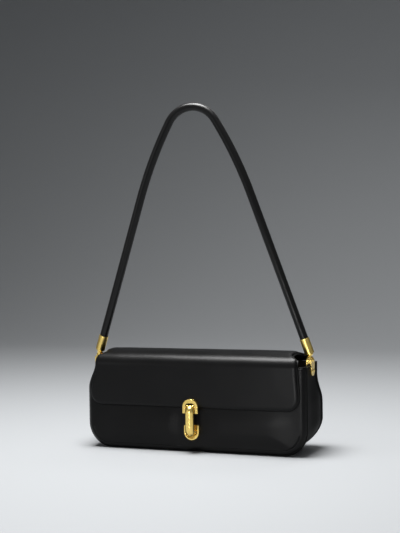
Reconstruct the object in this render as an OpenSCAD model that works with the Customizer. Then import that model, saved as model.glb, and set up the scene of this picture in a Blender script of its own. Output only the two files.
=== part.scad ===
// Structured baguette bag with a padded front flap, a link clasp and a pivoting strap.
// Millimetres. +X is the bag's right as seen from the front, +Y the back, +Z up.
// The origin is on the ground under the middle of the body.

/* [Body] */
// Width of the body across the gussets
body_w = 260; // [220:1:300]
// Depth of the body at its belly
body_d = 74; // [60:1:90]
// Height of the mouth edge at the front and sides
mouth_z = 97; // [88:1:104]
// Height of the panels' bottom above the ground
base_lift = 1; // [0.6:0.1:2]
// Corner radius of the front panel's outline
corner_r = 28; // [20:1:34]
// Corner radius of the back panel's outline
back_corner_r = 36; // [26:1:40]
// Rounding of the front panel into its side seam
front_round = 6; // [4.5:0.5:9]
// Rounding of the back panel into its side seam
back_round = 12; // [8:0.5:14]
// How far the back draws in at the waist
waist_in = 13; // [8:0.5:16]
// Height where the waist begins
waist_z = 86; // [80:1:88]
// Height where the belly ends
belly_z = 52; // [44:1:60]
// Thickness of the body leather
leather_t = 2.2; // [1.8:0.1:2.6]
// Thickness of the lining
lining_t = 1.2; // [1:0.1:1.6]
// Thickness of the stiffeners behind the front and back panels
stiffener_t = 0.8; // [0.5:0.1:0.9]
// Radius of the welt cord in the side seams
welt_r = 1.3; // [1:0.1:1.6]
// Height of the binding on the mouth edge
binding_h = 1.6; // [1:0.1:2]
// Thickness of the loose base board
board_t = 2; // [1.5:0.1:3]

/* [Inner pocket] */
// Width of the slip pocket
pocket_w = 150; // [100:1:180]
// Height of the pocket's lower edge
pocket_z = 30; // [24:1:40]
// Height of the pocket's open edge
pocket_top = 80; // [60:1:86]
// Gap between the pocket's leaf and the lining
pocket_gap = 1; // [0.6:0.1:1.5]
// Thickness of the pocket's leaf
pocket_t = 0.8; // [0.6:0.1:1.2]
// Width of the pocket's sewn edge
pocket_hem = 3; // [2:0.5:5]

/* [Flap] */
// How far the flap's lip stands in from the body's side at the front
flap_side_in = 5.7; // [5:0.1:12]
// How far the flap stands in from the body's side between the strap's ends
flap_waist_side = 16; // [15:0.5:20]
// How far the flap's rear stands in behind them
flap_rear_side = 10; // [9:0.5:15]
// How far the flap stands in from the body's side where its front meets the bend
flap_top_side = 7.5; // [6:0.5:12]
// Height of the flap's top face
flap_top = 113.5; // [112:0.5:120]
// Height of the lip's lower edge
flap_edge_z = 49.5; // [44:0.5:52]
// Corner radius of the flap's lower corners
flap_corner_r = 15; // [12:0.5:24]
// Radius of the bend from the top to the front
flap_bend_r = 15; // [11:0.5:15]
// Radius of the bend at the back
flap_rear_r = 9.5; // [7:0.5:10]
// Slope of the domed top where it runs into the front bend, in degrees
dome_front = 16; // [8:1:20]
// Slope of the domed top where it runs into the rear bend, in degrees
dome_rear = 20; // [14:1:24]
// Thickness of the padded outer layer
flap_pad_t = 3; // [2.4:0.1:4]
// Thickness of the outer layer's leather over its padding
flap_skin_t = 1.2; // [1:0.1:1.4]
// Thickness of the lining layer that shows as a lip
flap_lining_t = 1.4; // [1:0.1:2]
// How far the lip stands out round the outer layer
lip_w = 1.8; // [1:0.1:2.5]
// Clear gap between the closed flap and the front panel
flap_gap = 0.6; // [0.4:0.1:1]
// Thickness of the leather fold that hinges the flap
fold_t = 1; // [0.8:0.1:1.4]
// How far the fold reaches down the back panel
fold_drop = 13; // [8:1:16]

/* [Clasp] */
// Width of the upper plate
upper_w = 17.7; // [17:0.1:20]
// Height of the upper plate's lower edge
upper_z = 45; // [44:0.5:46]
// Height of the upper plate's arched edge
upper_top = 61; // [60:0.5:64]
// Thickness of the upper plate
upper_t = 4.2; // [4:0.1:5]
// Width of the slot that the bar swings in
slot_w = 11.2; // [11:0.1:11.6]
// Width of the lower plate
lower_w = 17.2; // [17:0.1:20]
// Height of the lower plate's rounded edge
lower_z = 14.8; // [12:0.1:15]
// Height of the lower plate's open edge
lower_top = 31; // [30:0.5:34]
// Thickness of the lower plate over its rim
lower_t = 5.4; // [5:0.1:5.6]
// Width of the lower plate's rim
rim_w = 1.5; // [1.3:0.05:1.8]
// Thickness of the lower plate's floor
floor_t = 1.6; // [1.4:0.1:1.8]
// Width of the link bar
bar_w = 10.5; // [9:0.1:10.6]
// Thickness of the link bar
bar_t = 4.4; // [4:0.1:5]
// How far the bar's straight middle line stands out from the flap's face
bar_bow = 8.1; // [7.6:0.1:8.4]
// Radius of the bar's bend at the pin
bar_end_r = 6; // [5.9:0.1:6.2]
// Radius of the bar's bend at the nose
bar_nose_r = 9.5; // [9:0.1:10]
// Distance of the hinge pin from the flap's face
pin_off = 2.7; // [2.6:0.1:2.8]
// Height of the hinge pin
pin_z = 52.5; // [52:0.1:53]
// Radius of the clasp's hinge pin
clasp_pin_r = 0.8; // [0.6:0.05:1]
// Running clearance of both hinge pins
pin_clear = 0.05; // [0.03:0.01:0.08]
// Turn of the bar's nose, in degrees
nose_turn = 84; // [80:1:86]
// Radius of the keeper stub behind the nose
stub_r = 3; // [2:0.1:3.5]
// Thickness of the catch magnet
magnet_t = 1.4; // [1:0.1:1.6]
// Radius of the catch magnet
magnet_r = 4; // [3:0.1:4.5]
// Thickness of the plates that back the clasp
backing_t = 0.8; // [0.5:0.1:0.8]

/* [Strap] */
// Height of the strap's crown above its pivots, to the middle of the leather
strap_rise = 285.7; // [240:0.1:320]
// Height above the crown where the lines of the two legs would meet
apex_rise = 86.9; // [80:0.1:100]
// Straight length of each leg, measured up from the pivots
leg_rise = 185; // [160:1:200]
// Radius of the strap's crown
crown_r = 32; // [28:1:40]
// Forward lean of the standing strap, in degrees
strap_lean = 4.5; // [0:0.5:8]
// Radius of the rolled leather
strap_r = 4.7; // [4.2:0.1:4.8]
// Radius of the cord inside the leather
core_r = 2.6; // [2:0.1:3]
// Outer radius of the ferrules
ferrule_r = 5.4; // [5.2:0.1:5.6]
// Length of the ferrules
ferrule_len = 17.5; // [14:0.1:18.5]
// Height of the knuckle's neck above the pivot
neck_h = 5.9; // [5.6:0.1:7]
// Radius of the knuckle's collar
collar_r = 4; // [3.4:0.1:4.2]
// Thickness of the knuckle's collar
collar_t = 1.2; // [1:0.1:1.6]

/* [Brackets] */
// Height of the strap's pivot axis
pivot_z = 103.8; // [103.5:0.1:106]
// Distance of the pivots in front of the middle of the bag
pivot_ahead = 6.5; // [4:0.1:7]
// Thickness of the bracket's plates
plate_t = 1.3; // [1:0.1:1.5]
// Width of the bracket plates
bracket_w = 15; // [14.6:0.1:16]
// How far the outer plate reaches below the mouth edge
outer_drop = 10.5; // [9:0.5:14]
// How far the inner plate reaches below the mouth edge
inner_drop = 8.5; // [8:0.5:12]
// Radius of the ears round the pivot pin
ear_r = 3.6; // [3.2:0.1:3.8]
// Corner radius of the outer plate
plate_corner_r = 6; // [3:0.5:8]
// Radius of the pivot pins
pivot_pin_r = 1.3; // [1:0.05:1.6]
// Radius of the rivets
rivet_r = 1.1; // [0.9:0.1:1.4]
// Spacing of the two rivets in a bracket
rivet_gap = 8.5; // [7:0.5:10]

/* [Hidden] */
$fn = 64;
LEATHER = [0.06, 0.06, 0.065];
LINING = [0.16, 0.13, 0.12];
GOLD = [0.85, 0.66, 0.30];
STEEL = [0.55, 0.55, 0.57];

thin = 0.01;
fit = 0.1;
welt_foot = 0.3;
half_w = body_w / 2;
face_y = -body_d / 2;
waist_y = body_d / 2 - waist_in;
front_seam_y = face_y + front_round;
base_half = half_w - max(corner_r, back_corner_r);
flap_w = body_w - 2 * flap_side_in;
flap_waist_w = body_w - 2 * flap_waist_side;
flap_top_w = body_w - 2 * flap_top_side;
flap_rear_w = body_w - 2 * flap_rear_side;
wall_t = leather_t + lining_t;
hinge_z = mouth_z + 3;
hinge_y = waist_y + fold_t / 2;
back_z = hinge_z - 0.3;
flap_t = flap_pad_t + flap_lining_t;
flap_y = face_y - flap_gap - flap_t;
pocket_inner = wall_t + pocket_gap;

// Flap: a rear bend, a wide dome and a front bend, each tangent to the next
rear_turn = 90 - dome_rear;
front_turn = 90 + dome_front;
dome_r = (waist_y - flap_y - flap_rear_r - flap_bend_r + flap_rear_r * cos(rear_turn)
    - flap_bend_r * cos(front_turn)) / (cos(rear_turn) - cos(front_turn));
dome_mid = [waist_y - flap_rear_r + (flap_rear_r - dome_r) * cos(rear_turn), flap_top - dome_r];
rear_mid = dome_mid + (dome_r - flap_rear_r) * [cos(rear_turn), sin(rear_turn)];
front_mid = dome_mid + (dome_r - flap_bend_r) * [cos(front_turn), sin(front_turn)];
bend_z = front_mid[1];
waist_front = -24;
waist_back = 8;

// Clasp bar: straight in its middle, with a bend into the pin and one into the nose
bar_line = -flap_y + bar_bow;
pin_turn = acos((-flap_y + pin_off - bar_line + bar_end_r) / bar_end_r);
bar_end_z = pin_z - bar_end_r * sin(pin_turn);
bar_foot = lower_z + rim_w + 1.6;
bar_nose_z = bar_foot + (bar_nose_r + bar_t / 2) * sin(nose_turn);
bar_path = concat(
    [for (i = [0 : 8]) let (a = pin_turn * (1 - i / 8))
        [bar_line - bar_end_r + bar_end_r * cos(a), bar_end_z + bar_end_r * sin(a), a]],
    [for (i = [0 : 12]) let (a = -nose_turn * i / 12)
        [bar_line - bar_nose_r + bar_nose_r * cos(a), bar_nose_z + bar_nose_r * sin(a), a]]);
eye_r = pin_off - 0.7;
magnet_z = lower_z + rim_w + magnet_r + 1.6;
screw_r = 0.8;
upper_screw_x = upper_w / 4;
upper_screw_z = upper_top - 3.3;
lower_screw_x = 5.2;
lower_screw_z = lower_top - 3;

// Strap: each leg runs into a wide shoulder arc, and that into the crown's arc
pivot_x = half_w - wall_t / 2;
leg_lean = atan(pivot_x / (strap_rise + apex_rise));
leg_top = [pivot_x - (leg_rise - neck_h) * tan(leg_lean), leg_rise];
crown_z = strap_rise - crown_r;
to_leg = leg_top - [0, crown_z];
inward = [-cos(leg_lean), -sin(leg_lean)];
shoulder_r = (crown_r * crown_r - to_leg * to_leg) / (2 * (inward * to_leg) + 2 * crown_r);
shoulder = leg_top + shoulder_r * inward;
shoulder_end = atan2(crown_z - shoulder[1], -shoulder[0]);
leg_len = (leg_rise - neck_h) / cos(leg_lean);
leather_start = collar_t + 1.6;
seam = 0.02;
eye_t = wall_t + 2 * fit - 0.6;
outer_x = half_w + fit;
inner_x = half_w - wall_t - fit - plate_t;
shoulder_z = pivot_z - 0.3;
rivet_z = mouth_z - 5;

function blend(t) = (1 - cos(180 * min(1, max(0, t)))) / 2;
// Back surface: full depth at the belly, drawn in at the waist, with a smooth S between
function back_y(z) = body_d / 2 - waist_in * blend((z - belly_z) / (waist_z - belly_z));
// Half width of the flap in plan: narrow between the strap's ends, wide before and behind them
function flap_half(y) = flap_waist_w / 2
    + (flap_w - flap_waist_w) / 2 * blend((waist_front - y) / (waist_front - flap_y))
    + (flap_rear_w - flap_waist_w) / 2 * blend((y - waist_back) / (waist_y - 4 - waist_back));
// Half width of the flap's front: it draws in towards the bend
function front_half(z) = flap_w / 2
    - (flap_w - flap_top_w) / 2 * blend((z - flap_edge_z - flap_corner_r) / (bend_z - flap_edge_z - flap_corner_r));

// Draws a front outline, x across and z up, as a plate that ends at y
module front_plate(y, t) {
    translate([0, y, 0]) rotate([90, 0, 0]) linear_extrude(t) children();
}

// Draws a side outline, y back and z up, as a bar along x
module side_bar(w) {
    translate([-w / 2, 0, 0]) rotate([90, 0, 90]) linear_extrude(w) children();
}

// One thin slice of the body, its outline drawn in by inset
module slice(y, inset, outline_r) {
    r = max(outline_r - inset, 4);
    w = half_w - inset;
    for (s = [-1, 1]) {
        translate([s * (w - r), y, base_lift + inset + r])
            rotate([90, 0, 0]) cylinder(r = r, h = thin, $fn = 32);
        translate([s * (w - thin / 2) - thin / 2, y - thin, back_z - 1]) cube([thin, thin, 1]);
    }
}

// The body as one closed form, every wall moved in by k
module body_form(k) {
    front_r = max(front_round - k, 1);
    back_r = max(back_round - k, 1);
    intersection() {
        hull() {
            for (a = [0 : 22.5 : 90]) {
                slice(face_y + k + front_r * (1 - cos(a)) + thin, k + front_r * (1 - sin(a)), corner_r);
                slice(-face_y - k - back_r * (1 - cos(a)), k + back_r * (1 - sin(a)), back_corner_r);
            }
        }
        side_bar(2 * body_w) side_region(-body_d, k);
    }
}

// Side outline from y_front to the back surface moved in by k
module side_region(y_front, k) {
    polygon(concat(
        [[y_front, back_z], [y_front, -body_d]], [[back_y(0) - k, -body_d]],
        [for (z = [0 : 4 : back_z]) [back_y(z) - k, z]], [[waist_y - k, back_z]]));
}

module body_shell(k_out, k_in) {
    difference() {
        body_form(k_out);
        body_form(k_in);
    }
}

// Everything in front of the front seam
module front_zone() {
    translate([-body_w, -body_d, -body_d]) cube([2 * body_w, body_d + front_seam_y, body_d + mouth_z]);
}

// Everything behind the back seam, which follows the back's own curve
module back_zone() {
    side_bar(2 * body_w) difference() {
        side_region(-body_d, -body_d);
        side_region(-2 * body_d, back_round);
    }
}

// Everything above the mouth edge, apart from the back
module above_mouth() {
    difference() {
        translate([-body_w, -body_d, mouth_z]) cube([2 * body_w, 2 * body_d, body_d]);
        back_zone();
    }
}

// Holes for the rivets of both brackets
module rivet_holes(r) {
    for (s = [-1, 1], t = [-1, 1])
        translate([s * half_w, t * rivet_gap / 2 - pivot_ahead, rivet_z])
            rotate([0, 90, 0]) cylinder(r = r, h = 20, center = true);
}

module lower_screw_holes(y_back, y_front) {
    for (s = [-1, 1])
        translate([s * lower_screw_x, y_back, lower_screw_z])
            rotate([90, 0, 0]) cylinder(r = screw_r, h = y_back - y_front);
}

module upper_screw_holes(y_back, y_front) {
    for (s = [-1, 1])
        translate([s * upper_screw_x, y_back, upper_screw_z])
            rotate([90, 0, 0]) cylinder(r = screw_r, h = y_back - y_front);
}

module front_panel() {
    color(LEATHER) difference() {
        intersection() {
            body_shell(0, leather_t);
            front_zone();
        }
        lower_screw_holes(face_y + leather_t + 1, face_y - 1);
    }
}

// Front outline whose top corners round down from the hinge edge to the mouth edge
module back_outline() {
    r = back_z - mouth_z;
    translate([-half_w, -body_d]) square([body_w, body_d + mouth_z]);
    translate([-half_w + r, -body_d]) square([body_w - 2 * r, body_d + back_z]);
    for (s = [-1, 1]) translate([s * (half_w - r), mouth_z]) circle(r = r);
}

module back_panel() {
    color(LEATHER) intersection() {
        body_shell(0, leather_t);
        back_zone();
        front_plate(body_d, 2 * body_d) back_outline();
    }
}

// The side strip between the seams: side 1 is the right gusset, -1 the left, 0 the base
module side_strip(side) {
    difference() {
        body_shell(0, leather_t);
        front_zone();
        back_zone();
        above_mouth();
        if (side == 0) {
            for (s = [0, 1]) mirror([s, 0, 0])
                translate([base_half, -body_d, -1]) cube([body_w, 2 * body_d, body_w]);
        } else {
            translate([side > 0 ? base_half - 2 * body_w : -base_half, -body_d, -1])
                cube([2 * body_w, 2 * body_d, body_w]);
            rivet_holes(rivet_r);
        }
    }
}

module left_gusset() {
    color(LEATHER) side_strip(-1);
}

module right_gusset() {
    color(LEATHER) side_strip(1);
}

module base_panel() {
    color(LEATHER) union() {
        side_strip(0);
        translate([-base_half, front_seam_y + welt_r, 0])
            cube([2 * base_half, body_d - front_round - back_round - 2 * welt_r, base_lift + thin]);
    }
}

// Points down one side, round the bottom and up the other side of an outline
function outline_path(r, z_top) = concat(
    [for (i = [0 : 10]) [-half_w, z_top + (base_lift + r - z_top) * i / 10]],
    [for (a = [190 : 10 : 270]) [-half_w + r + r * cos(a), base_lift + r + r * sin(a)]],
    [for (a = [270 : 10 : 350]) [half_w - r + r * cos(a), base_lift + r + r * sin(a)]],
    [for (i = [0 : 10]) [half_w, base_lift + r + (z_top - base_lift - r) * i / 10]]);

// A round cord along points that never turn towards y
module cord(points, r, sides) {
    n = len(points);
    rings = [for (i = [0 : n - 1])
        let (ahead = points[min(i + 1, n - 1)] - points[max(i - 1, 0)],
             t = ahead / norm(ahead),
             side = cross(t, [0, 1, 0]) / norm(cross(t, [0, 1, 0])),
             up = cross(side, t))
        for (j = [0 : sides - 1])
            points[i] + r * (cos(360 * j / sides) * side + sin(360 * j / sides) * up)];
    walls = [for (i = [0 : n - 2], j = [0 : sides - 1])
        let (a = i * sides + j, b = i * sides + (j + 1) % sides) [a, b, b + sides, a + sides]];
    ends = [[for (j = [0 : sides - 1]) sides - 1 - j], [for (j = [0 : sides - 1]) (n - 1) * sides + j]];
    polyhedron(rings, concat(walls, ends));
}

// A welt is the part of a seam cord that stands outside the body
module welt(points) {
    difference() {
        cord(points, welt_r, 8);
        body_form(0);
        translate([-body_w, -body_d, -body_d]) cube([2 * body_w, 2 * body_d, body_d + welt_foot]);
    }
}

module front_welt() {
    color(LEATHER) welt([for (p = outline_path(corner_r, mouth_z)) [p[0], front_seam_y, p[1]]]);
}

module back_welt() {
    color(LEATHER) welt([for (p = outline_path(back_corner_r, back_z))
        [p[0], back_y(p[1]) - back_round, p[1]]]);
}

module mouth_binding() {
    color(LEATHER) difference() {
        body_shell(0, wall_t);
        back_zone();
        translate([-body_w, -body_d, -body_d]) cube([2 * body_w, 2 * body_d, body_d + mouth_z]);
        translate([-body_w, -body_d, mouth_z + binding_h]) cube([2 * body_w, 2 * body_d, body_d]);
    }
}

// Flat stretch of the front and back walls that the stiffeners fill
module stiffener_zone() {
    translate([-base_half, -body_d, corner_r / 2])
        cube([2 * base_half, 2 * body_d, mouth_z - corner_r / 2 - 4]);
}

module stiffener(side) {
    intersection() {
        body_shell(leather_t, leather_t + stiffener_t);
        stiffener_zone();
        translate([-body_w, side < 0 ? -body_d : 0, 0]) cube([2 * body_w, body_d, body_d * 2]);
    }
}

module front_stiffener() {
    color(LINING) difference() {
        stiffener(-1);
        backing_hole(lower_w, lower_top, face_y + leather_t + stiffener_t);
    }
}

module back_stiffener() {
    color(LINING) stiffener(1);
}

module lining() {
    color(LINING) difference() {
        intersection() {
            body_shell(leather_t, wall_t);
            front_plate(body_d, 2 * body_d) back_outline();
        }
        above_mouth();
        intersection() {
            body_shell(leather_t - fit, leather_t + stiffener_t);
            stiffener_zone();
        }
        rivet_holes(rivet_r);
    }
}

module slip_pocket() {
    color(LINING) intersection() {
        difference() {
            body_shell(wall_t, pocket_inner + pocket_t);
            intersection() {
                body_form(wall_t);
                translate([-pocket_w / 2 + pocket_hem, 0, pocket_z + pocket_hem])
                    cube([pocket_w - 2 * pocket_hem, body_d, body_d * 2]);
                difference() {
                    translate([-body_w, -body_d, 0]) cube([2 * body_w, 2 * body_d, body_d * 2]);
                    body_form(pocket_inner);
                }
            }
        }
        translate([-pocket_w / 2, 0, pocket_z]) cube([pocket_w, body_d, pocket_top - pocket_z]);
    }
}

module base_board() {
    color(LINING)
        translate([-base_half + 2, front_seam_y + 2, base_lift + wall_t + fit / 2])
            cube([2 * base_half - 4, body_d - front_round - back_round - 4, board_t]);
}

// Points of an arc in the side view, from angle a0 to a1
function arc(mid, r, a0, a1) = [for (i = [0 : 8])
    mid + r * [cos(a0 + (a1 - a0) * i / 8), sin(a0 + (a1 - a0) * i / 8)]];

// Side outline of the flap's outer surface moved in by k
module flap_side(k) {
    polygon(concat([[waist_y - k, 0]],
        arc(rear_mid, flap_rear_r - k, 0, rear_turn),
        arc(dome_mid, dome_r - k, rear_turn, front_turn),
        arc(front_mid, flap_bend_r - k, front_turn, 180), [[flap_y + k, 0]]));
}

// Front outline of the flap, drawn in by inset
module flap_front(inset) {
    z = flap_edge_z + inset;
    r = flap_corner_r - inset;
    zs = [for (i = [0 : 10]) z + r + (bend_z - z - r) * i / 10];
    polygon(concat(
        [for (i = [0 : 9]) [front_half(z) - inset - r + r * cos(270 + 9 * i), z + r + r * sin(270 + 9 * i)]],
        [for (h = zs) [front_half(h) - inset, h]],
        [[front_half(bend_z) - inset, flap_top + 1], [-front_half(bend_z) + inset, flap_top + 1]],
        [for (i = [10 : -1 : 0]) [-front_half(zs[i]) + inset, zs[i]]],
        [for (i = [0 : 9]) [-front_half(z) + inset + r + r * cos(180 + 9 * (i + 1)), z + r + r * sin(180 + 9 * (i + 1))]]));
}

// Plan of the flap, drawn in by inset
module flap_plan(inset) {
    ys = concat([for (i = [0 : 12]) flap_y - 1 + (waist_front - flap_y + 1) * i / 12],
        [for (i = [0 : 12]) waist_back + (waist_y + 1 - waist_back) * i / 12]);
    polygon(concat([for (y = ys) [flap_half(y) - inset, y]],
        [for (i = [len(ys) - 1 : -1 : 0]) [-flap_half(ys[i]) + inset, ys[i]]]));
}

// A layer of the flap between depths k_out and k_in below its outer surface
module flap_layer(k_out, k_in, inset, rear_z) {
    intersection() {
        side_bar(body_w * 2) difference() {
            flap_side(k_out);
            flap_side(k_in);
            translate([0, -1]) square([body_d, rear_z + 1]);
        }
        front_plate(body_d, 2 * body_d) flap_front(inset);
        linear_extrude(2 * body_d) flap_plan(inset);
    }
}

module flap_outer() {
    color(LEATHER) difference() {
        flap_layer(0, flap_pad_t, lip_w, hinge_z + 0.3);
        flap_layer(flap_skin_t, flap_pad_t + 1, lip_w + 3, hinge_z + 2);
        backing_hole(upper_w, upper_top, flap_y + flap_pad_t);
        upper_screw_holes(flap_y + flap_pad_t, flap_y - 1);
    }
}

module flap_padding() {
    color(LINING) difference() {
        flap_layer(flap_skin_t, flap_pad_t, lip_w + 3, hinge_z + 2);
        backing_hole(upper_w, upper_top, flap_y + flap_pad_t);
        upper_screw_holes(flap_y + flap_pad_t, flap_y - 1);
    }
}

module flap_lining() {
    color(LEATHER) flap_layer(flap_pad_t, flap_t, 0, hinge_z + 0.3);
}

// The leather fold wraps the back panel's top and the flap's rear bend
module flap_fold() {
    color(LEATHER) translate([0, fit / 2, 0]) intersection() {
        side_bar(flap_waist_w - 2 * lip_w) difference() {
            flap_side(-fold_t);
            flap_side(0);
            square([waist_y + fold_t + 1, hinge_z - fold_drop]);
        }
        translate([-body_w, waist_y - flap_rear_r / 2, 0]) cube([2 * body_w, body_d, body_d * 2]);
    }
}

// Arched plate outline with its round end up: width w, from z0 to z1
module arch(w, z0, z1) {
    intersection() {
        union() {
            translate([-w / 2, z0]) square([w, z1 - z0 - w / 2]);
            translate([0, z1 - w / 2]) circle(d = w);
        }
        translate([-w / 2, z0]) square([w, z1 - z0]);
    }
}

// Slot that the bar swings in, open below, with rounded upper corners
module slot_outline() {
    r = slot_w / 2 - 2;
    z = pin_z + eye_r + 1.9;
    translate([-slot_w / 2, 0]) square([slot_w, z - r]);
    translate([-slot_w / 2 + r, 0]) square([slot_w - 2 * r, z]);
    for (s = [-1, 1]) translate([s * (slot_w / 2 - r), z - r]) circle(r = r);
}

module upper_plate() {
    color(GOLD) difference() {
        front_plate(flap_y, upper_t) difference() {
            arch(upper_w, upper_z, upper_top);
            slot_outline();
        }
        translate([0, flap_y - pin_off, pin_z]) rotate([0, 90, 0])
            cylinder(r = clasp_pin_r, h = upper_w - 2, center = true);
        upper_screw_holes(flap_y + 1, flap_y - upper_t + 1.4);
    }
}

// Space of a backing plate whose front face lies backing_t in front of y
module backing_hole(w, z_top, y) {
    translate([-w / 2, y - backing_t, z_top - 7]) cube([w, backing_t + thin, 7]);
}

module backing(w, z_top, y) {
    translate([-w / 2, y - backing_t, z_top - 7]) cube([w, backing_t, 7]);
}

module upper_backing() {
    color(STEEL) difference() {
        backing(upper_w, upper_top, flap_y + flap_pad_t);
        upper_screw_holes(flap_y + flap_pad_t + 1, flap_y);
    }
}

module upper_screws() {
    color(STEEL) upper_screw_holes(flap_y + flap_pad_t, flap_y - upper_t + 1.4);
}

module clasp_pin() {
    color(GOLD) translate([0, flap_y - pin_off, pin_z]) rotate([0, 90, 0])
        cylinder(r = clasp_pin_r, h = upper_w - 2, center = true);
}

// Half-round section of the bar, x across and y outwards, flat side towards the bag
function bar_section() =
    let (r = (bar_w * bar_w / 4 + bar_t * bar_t) / (2 * bar_t), edge = acos((r - bar_t) / r))
    [for (i = [-8 : 8]) [r * sin(edge * i / 8), bar_t / 2 - r + r * cos(edge * i / 8)]];

// The bar's section carried along its path
module bar_sweep() {
    section = bar_section();
    n = len(section);
    last = (len(bar_path) - 1) * n;
    points = [for (s = bar_path, p = section)
        [p[0], -s[0] - p[1] * cos(s[2]), s[1] + p[1] * sin(s[2])]];
    walls = [for (i = [0 : n : last - 1], j = [0 : n - 1])
        let (a = i + j, b = i + (j + 1) % n) [a, b, b + n, a + n]];
    polyhedron(points, concat(walls, [[for (j = [0 : n - 1]) n - 1 - j], [for (j = [0 : n - 1]) last + j]]));
}

// Outline that rounds the bar's nose to sit inside the lower plate's rim
module nose_outline() {
    r = bar_w / 2 + 0.5;
    translate([-r, bar_foot + r - 0.15]) square([2 * r, body_d]);
    translate([0, bar_foot + r - 0.15]) circle(r = r);
}

module link_bar() {
    stub_z = magnet_z + 0.6;
    drop = bar_nose_z - stub_z;
    stub_end = bar_line - bar_nose_r + sqrt(bar_nose_r * bar_nose_r - drop * drop);
    stub_y = face_y - floor_t - magnet_t - 0.4;
    color(GOLD) difference() {
        union() {
            intersection() {
                bar_sweep();
                front_plate(0, 2 * body_d) nose_outline();
            }
            translate([0, flap_y - pin_off, pin_z]) rotate([0, 90, 0])
                cylinder(r = eye_r, h = bar_w - 2, center = true);
            translate([0, stub_y, stub_z]) rotate([90, 0, 0]) cylinder(r = stub_r, h = stub_end + stub_y);
        }
        translate([0, flap_y - pin_off, pin_z]) rotate([0, 90, 0])
            cylinder(r = clasp_pin_r + pin_clear, h = upper_w, center = true);
    }
}

module lower_plate() {
    color(GOLD) difference() {
        front_plate(face_y, lower_t) translate([0, lower_z + lower_top]) mirror([0, 1])
            arch(lower_w, lower_z, lower_top);
        front_plate(face_y - floor_t, lower_t) translate([0, lower_z + lower_top]) mirror([0, 1])
            arch(lower_w - 2 * rim_w, lower_z - 1, lower_top - rim_w);
        lower_screw_holes(face_y + 1, face_y - floor_t + 0.3);
    }
}

module lower_backing() {
    color(STEEL) difference() {
        backing(lower_w, lower_top, face_y + leather_t + stiffener_t);
        lower_screw_holes(face_y + leather_t + 2, face_y);
    }
}

module lower_screws() {
    color(STEEL) lower_screw_holes(face_y + leather_t + stiffener_t, face_y - floor_t + 0.3);
}

module catch_magnet() {
    color(STEEL) translate([0, face_y - floor_t, magnet_z]) rotate([90, 0, 0])
        cylinder(r = magnet_r, h = magnet_t);
}

// Outline of a bracket plate, y across and z up, from the drop to the ear round the pin
module plate_outline(drop, r) {
    z0 = mouth_z - drop;
    difference() {
        union() {
            translate([-bracket_w / 2 + r, z0]) square([bracket_w - 2 * r, shoulder_z - z0]);
            translate([-bracket_w / 2, z0 + r]) square([bracket_w, shoulder_z - z0 - r]);
            for (s = [-1, 1]) translate([s * (bracket_w / 2 - r), z0 + r]) circle(r = r);
            translate([0, pivot_z]) circle(r = ear_r);
        }
        translate([0, pivot_z]) circle(r = pivot_pin_r);
        for (s = [-1, 1]) translate([s * rivet_gap / 2, rivet_z]) circle(r = rivet_r);
    }
}

// Cheek that joins the plates at the front or back, its lower edge sloping up outwards
module cheek() {
    translate([0, plate_t / 2, 0]) rotate([90, 0, 0]) linear_extrude(plate_t) polygon([
        [inner_x, mouth_z + binding_h + 0.2], [inner_x, shoulder_z],
        [outer_x + plate_t, shoulder_z], [outer_x + plate_t, mouth_z + binding_h + 2.4]]);
}

module bracket() {
    color(GOLD) translate([0, -pivot_ahead, 0]) union() {
        translate([outer_x, 0, 0]) rotate([90, 0, 90]) linear_extrude(plate_t)
            plate_outline(outer_drop, plate_corner_r);
        translate([inner_x, 0, 0]) rotate([90, 0, 90]) linear_extrude(plate_t)
            plate_outline(inner_drop, plate_corner_r / 2);
        for (s = [-1, 1]) translate([0, s * (bracket_w - plate_t) / 2, 0]) cheek();
    }
}

module right_bracket() {
    bracket();
}

module left_bracket() {
    mirror([1, 0, 0]) bracket();
}

// Domed head on a pin, its flat side at x = 0
module head(r, h) {
    ball = (r * r + h * h) / (2 * h);
    intersection() {
        translate([h - ball, 0, 0]) rotate([0, 90, 0]) sphere(r = ball);
        rotate([0, 90, 0]) cylinder(r = r, h = h);
    }
}

// A shank through both plates with a head on each side
module through_pin(shank_r, head_r, head_h) {
    span = outer_x + plate_t - inner_x;
    rotate([0, 90, 0]) cylinder(r = shank_r, h = span);
    translate([span, 0, 0]) head(head_r, head_h);
    mirror([1, 0, 0]) head(head_r, head_h);
}

module bracket_rivets() {
    color(GOLD) for (s = [0, 1], t = [-1, 1]) mirror([s, 0, 0])
        translate([inner_x, t * rivet_gap / 2 - pivot_ahead, rivet_z]) through_pin(rivet_r, 2 * rivet_r, 0.8);
}

module pivot_pin() {
    color(GOLD) translate([inner_x, -pivot_ahead, pivot_z]) through_pin(pivot_pin_r, 2 * pivot_pin_r, 1.3);
}

module right_pivot_pin() {
    pivot_pin();
}

module left_pivot_pin() {
    mirror([1, 0, 0]) pivot_pin();
}

// The strap's frame: its origin on the pivot axis, leaning forward as it stands
module strap_frame() {
    translate([0, -pivot_ahead, pivot_z]) rotate([strap_lean, 0, 0]) children();
}

// The right leg's frame: its origin at the top of the knuckle's neck and z along the leg
module leg_frame() {
    translate([pivot_x, 0, neck_h]) rotate([0, -leg_lean, 0]) children();
}

// Section of the strap's leather or cord, from radius r_in to r_out
module ring(r_out, r_in) {
    difference() {
        circle(r = r_out, $fn = 32);
        if (r_in > 0) circle(r = r_in, $fn = 32);
    }
}

// A bend of the strap about mid, in the plane of the strap, from angle a0 to a1
module strap_bend(mid, bend_r, a0, a1, r_out, r_in, sides) {
    translate([mid[0], 0, mid[1]]) rotate([90, 0, 0]) rotate([0, 0, a0])
        rotate_extrude(angle = a1 - a0, $fn = sides) translate([bend_r, 0]) ring(r_out, r_in);
}

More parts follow.
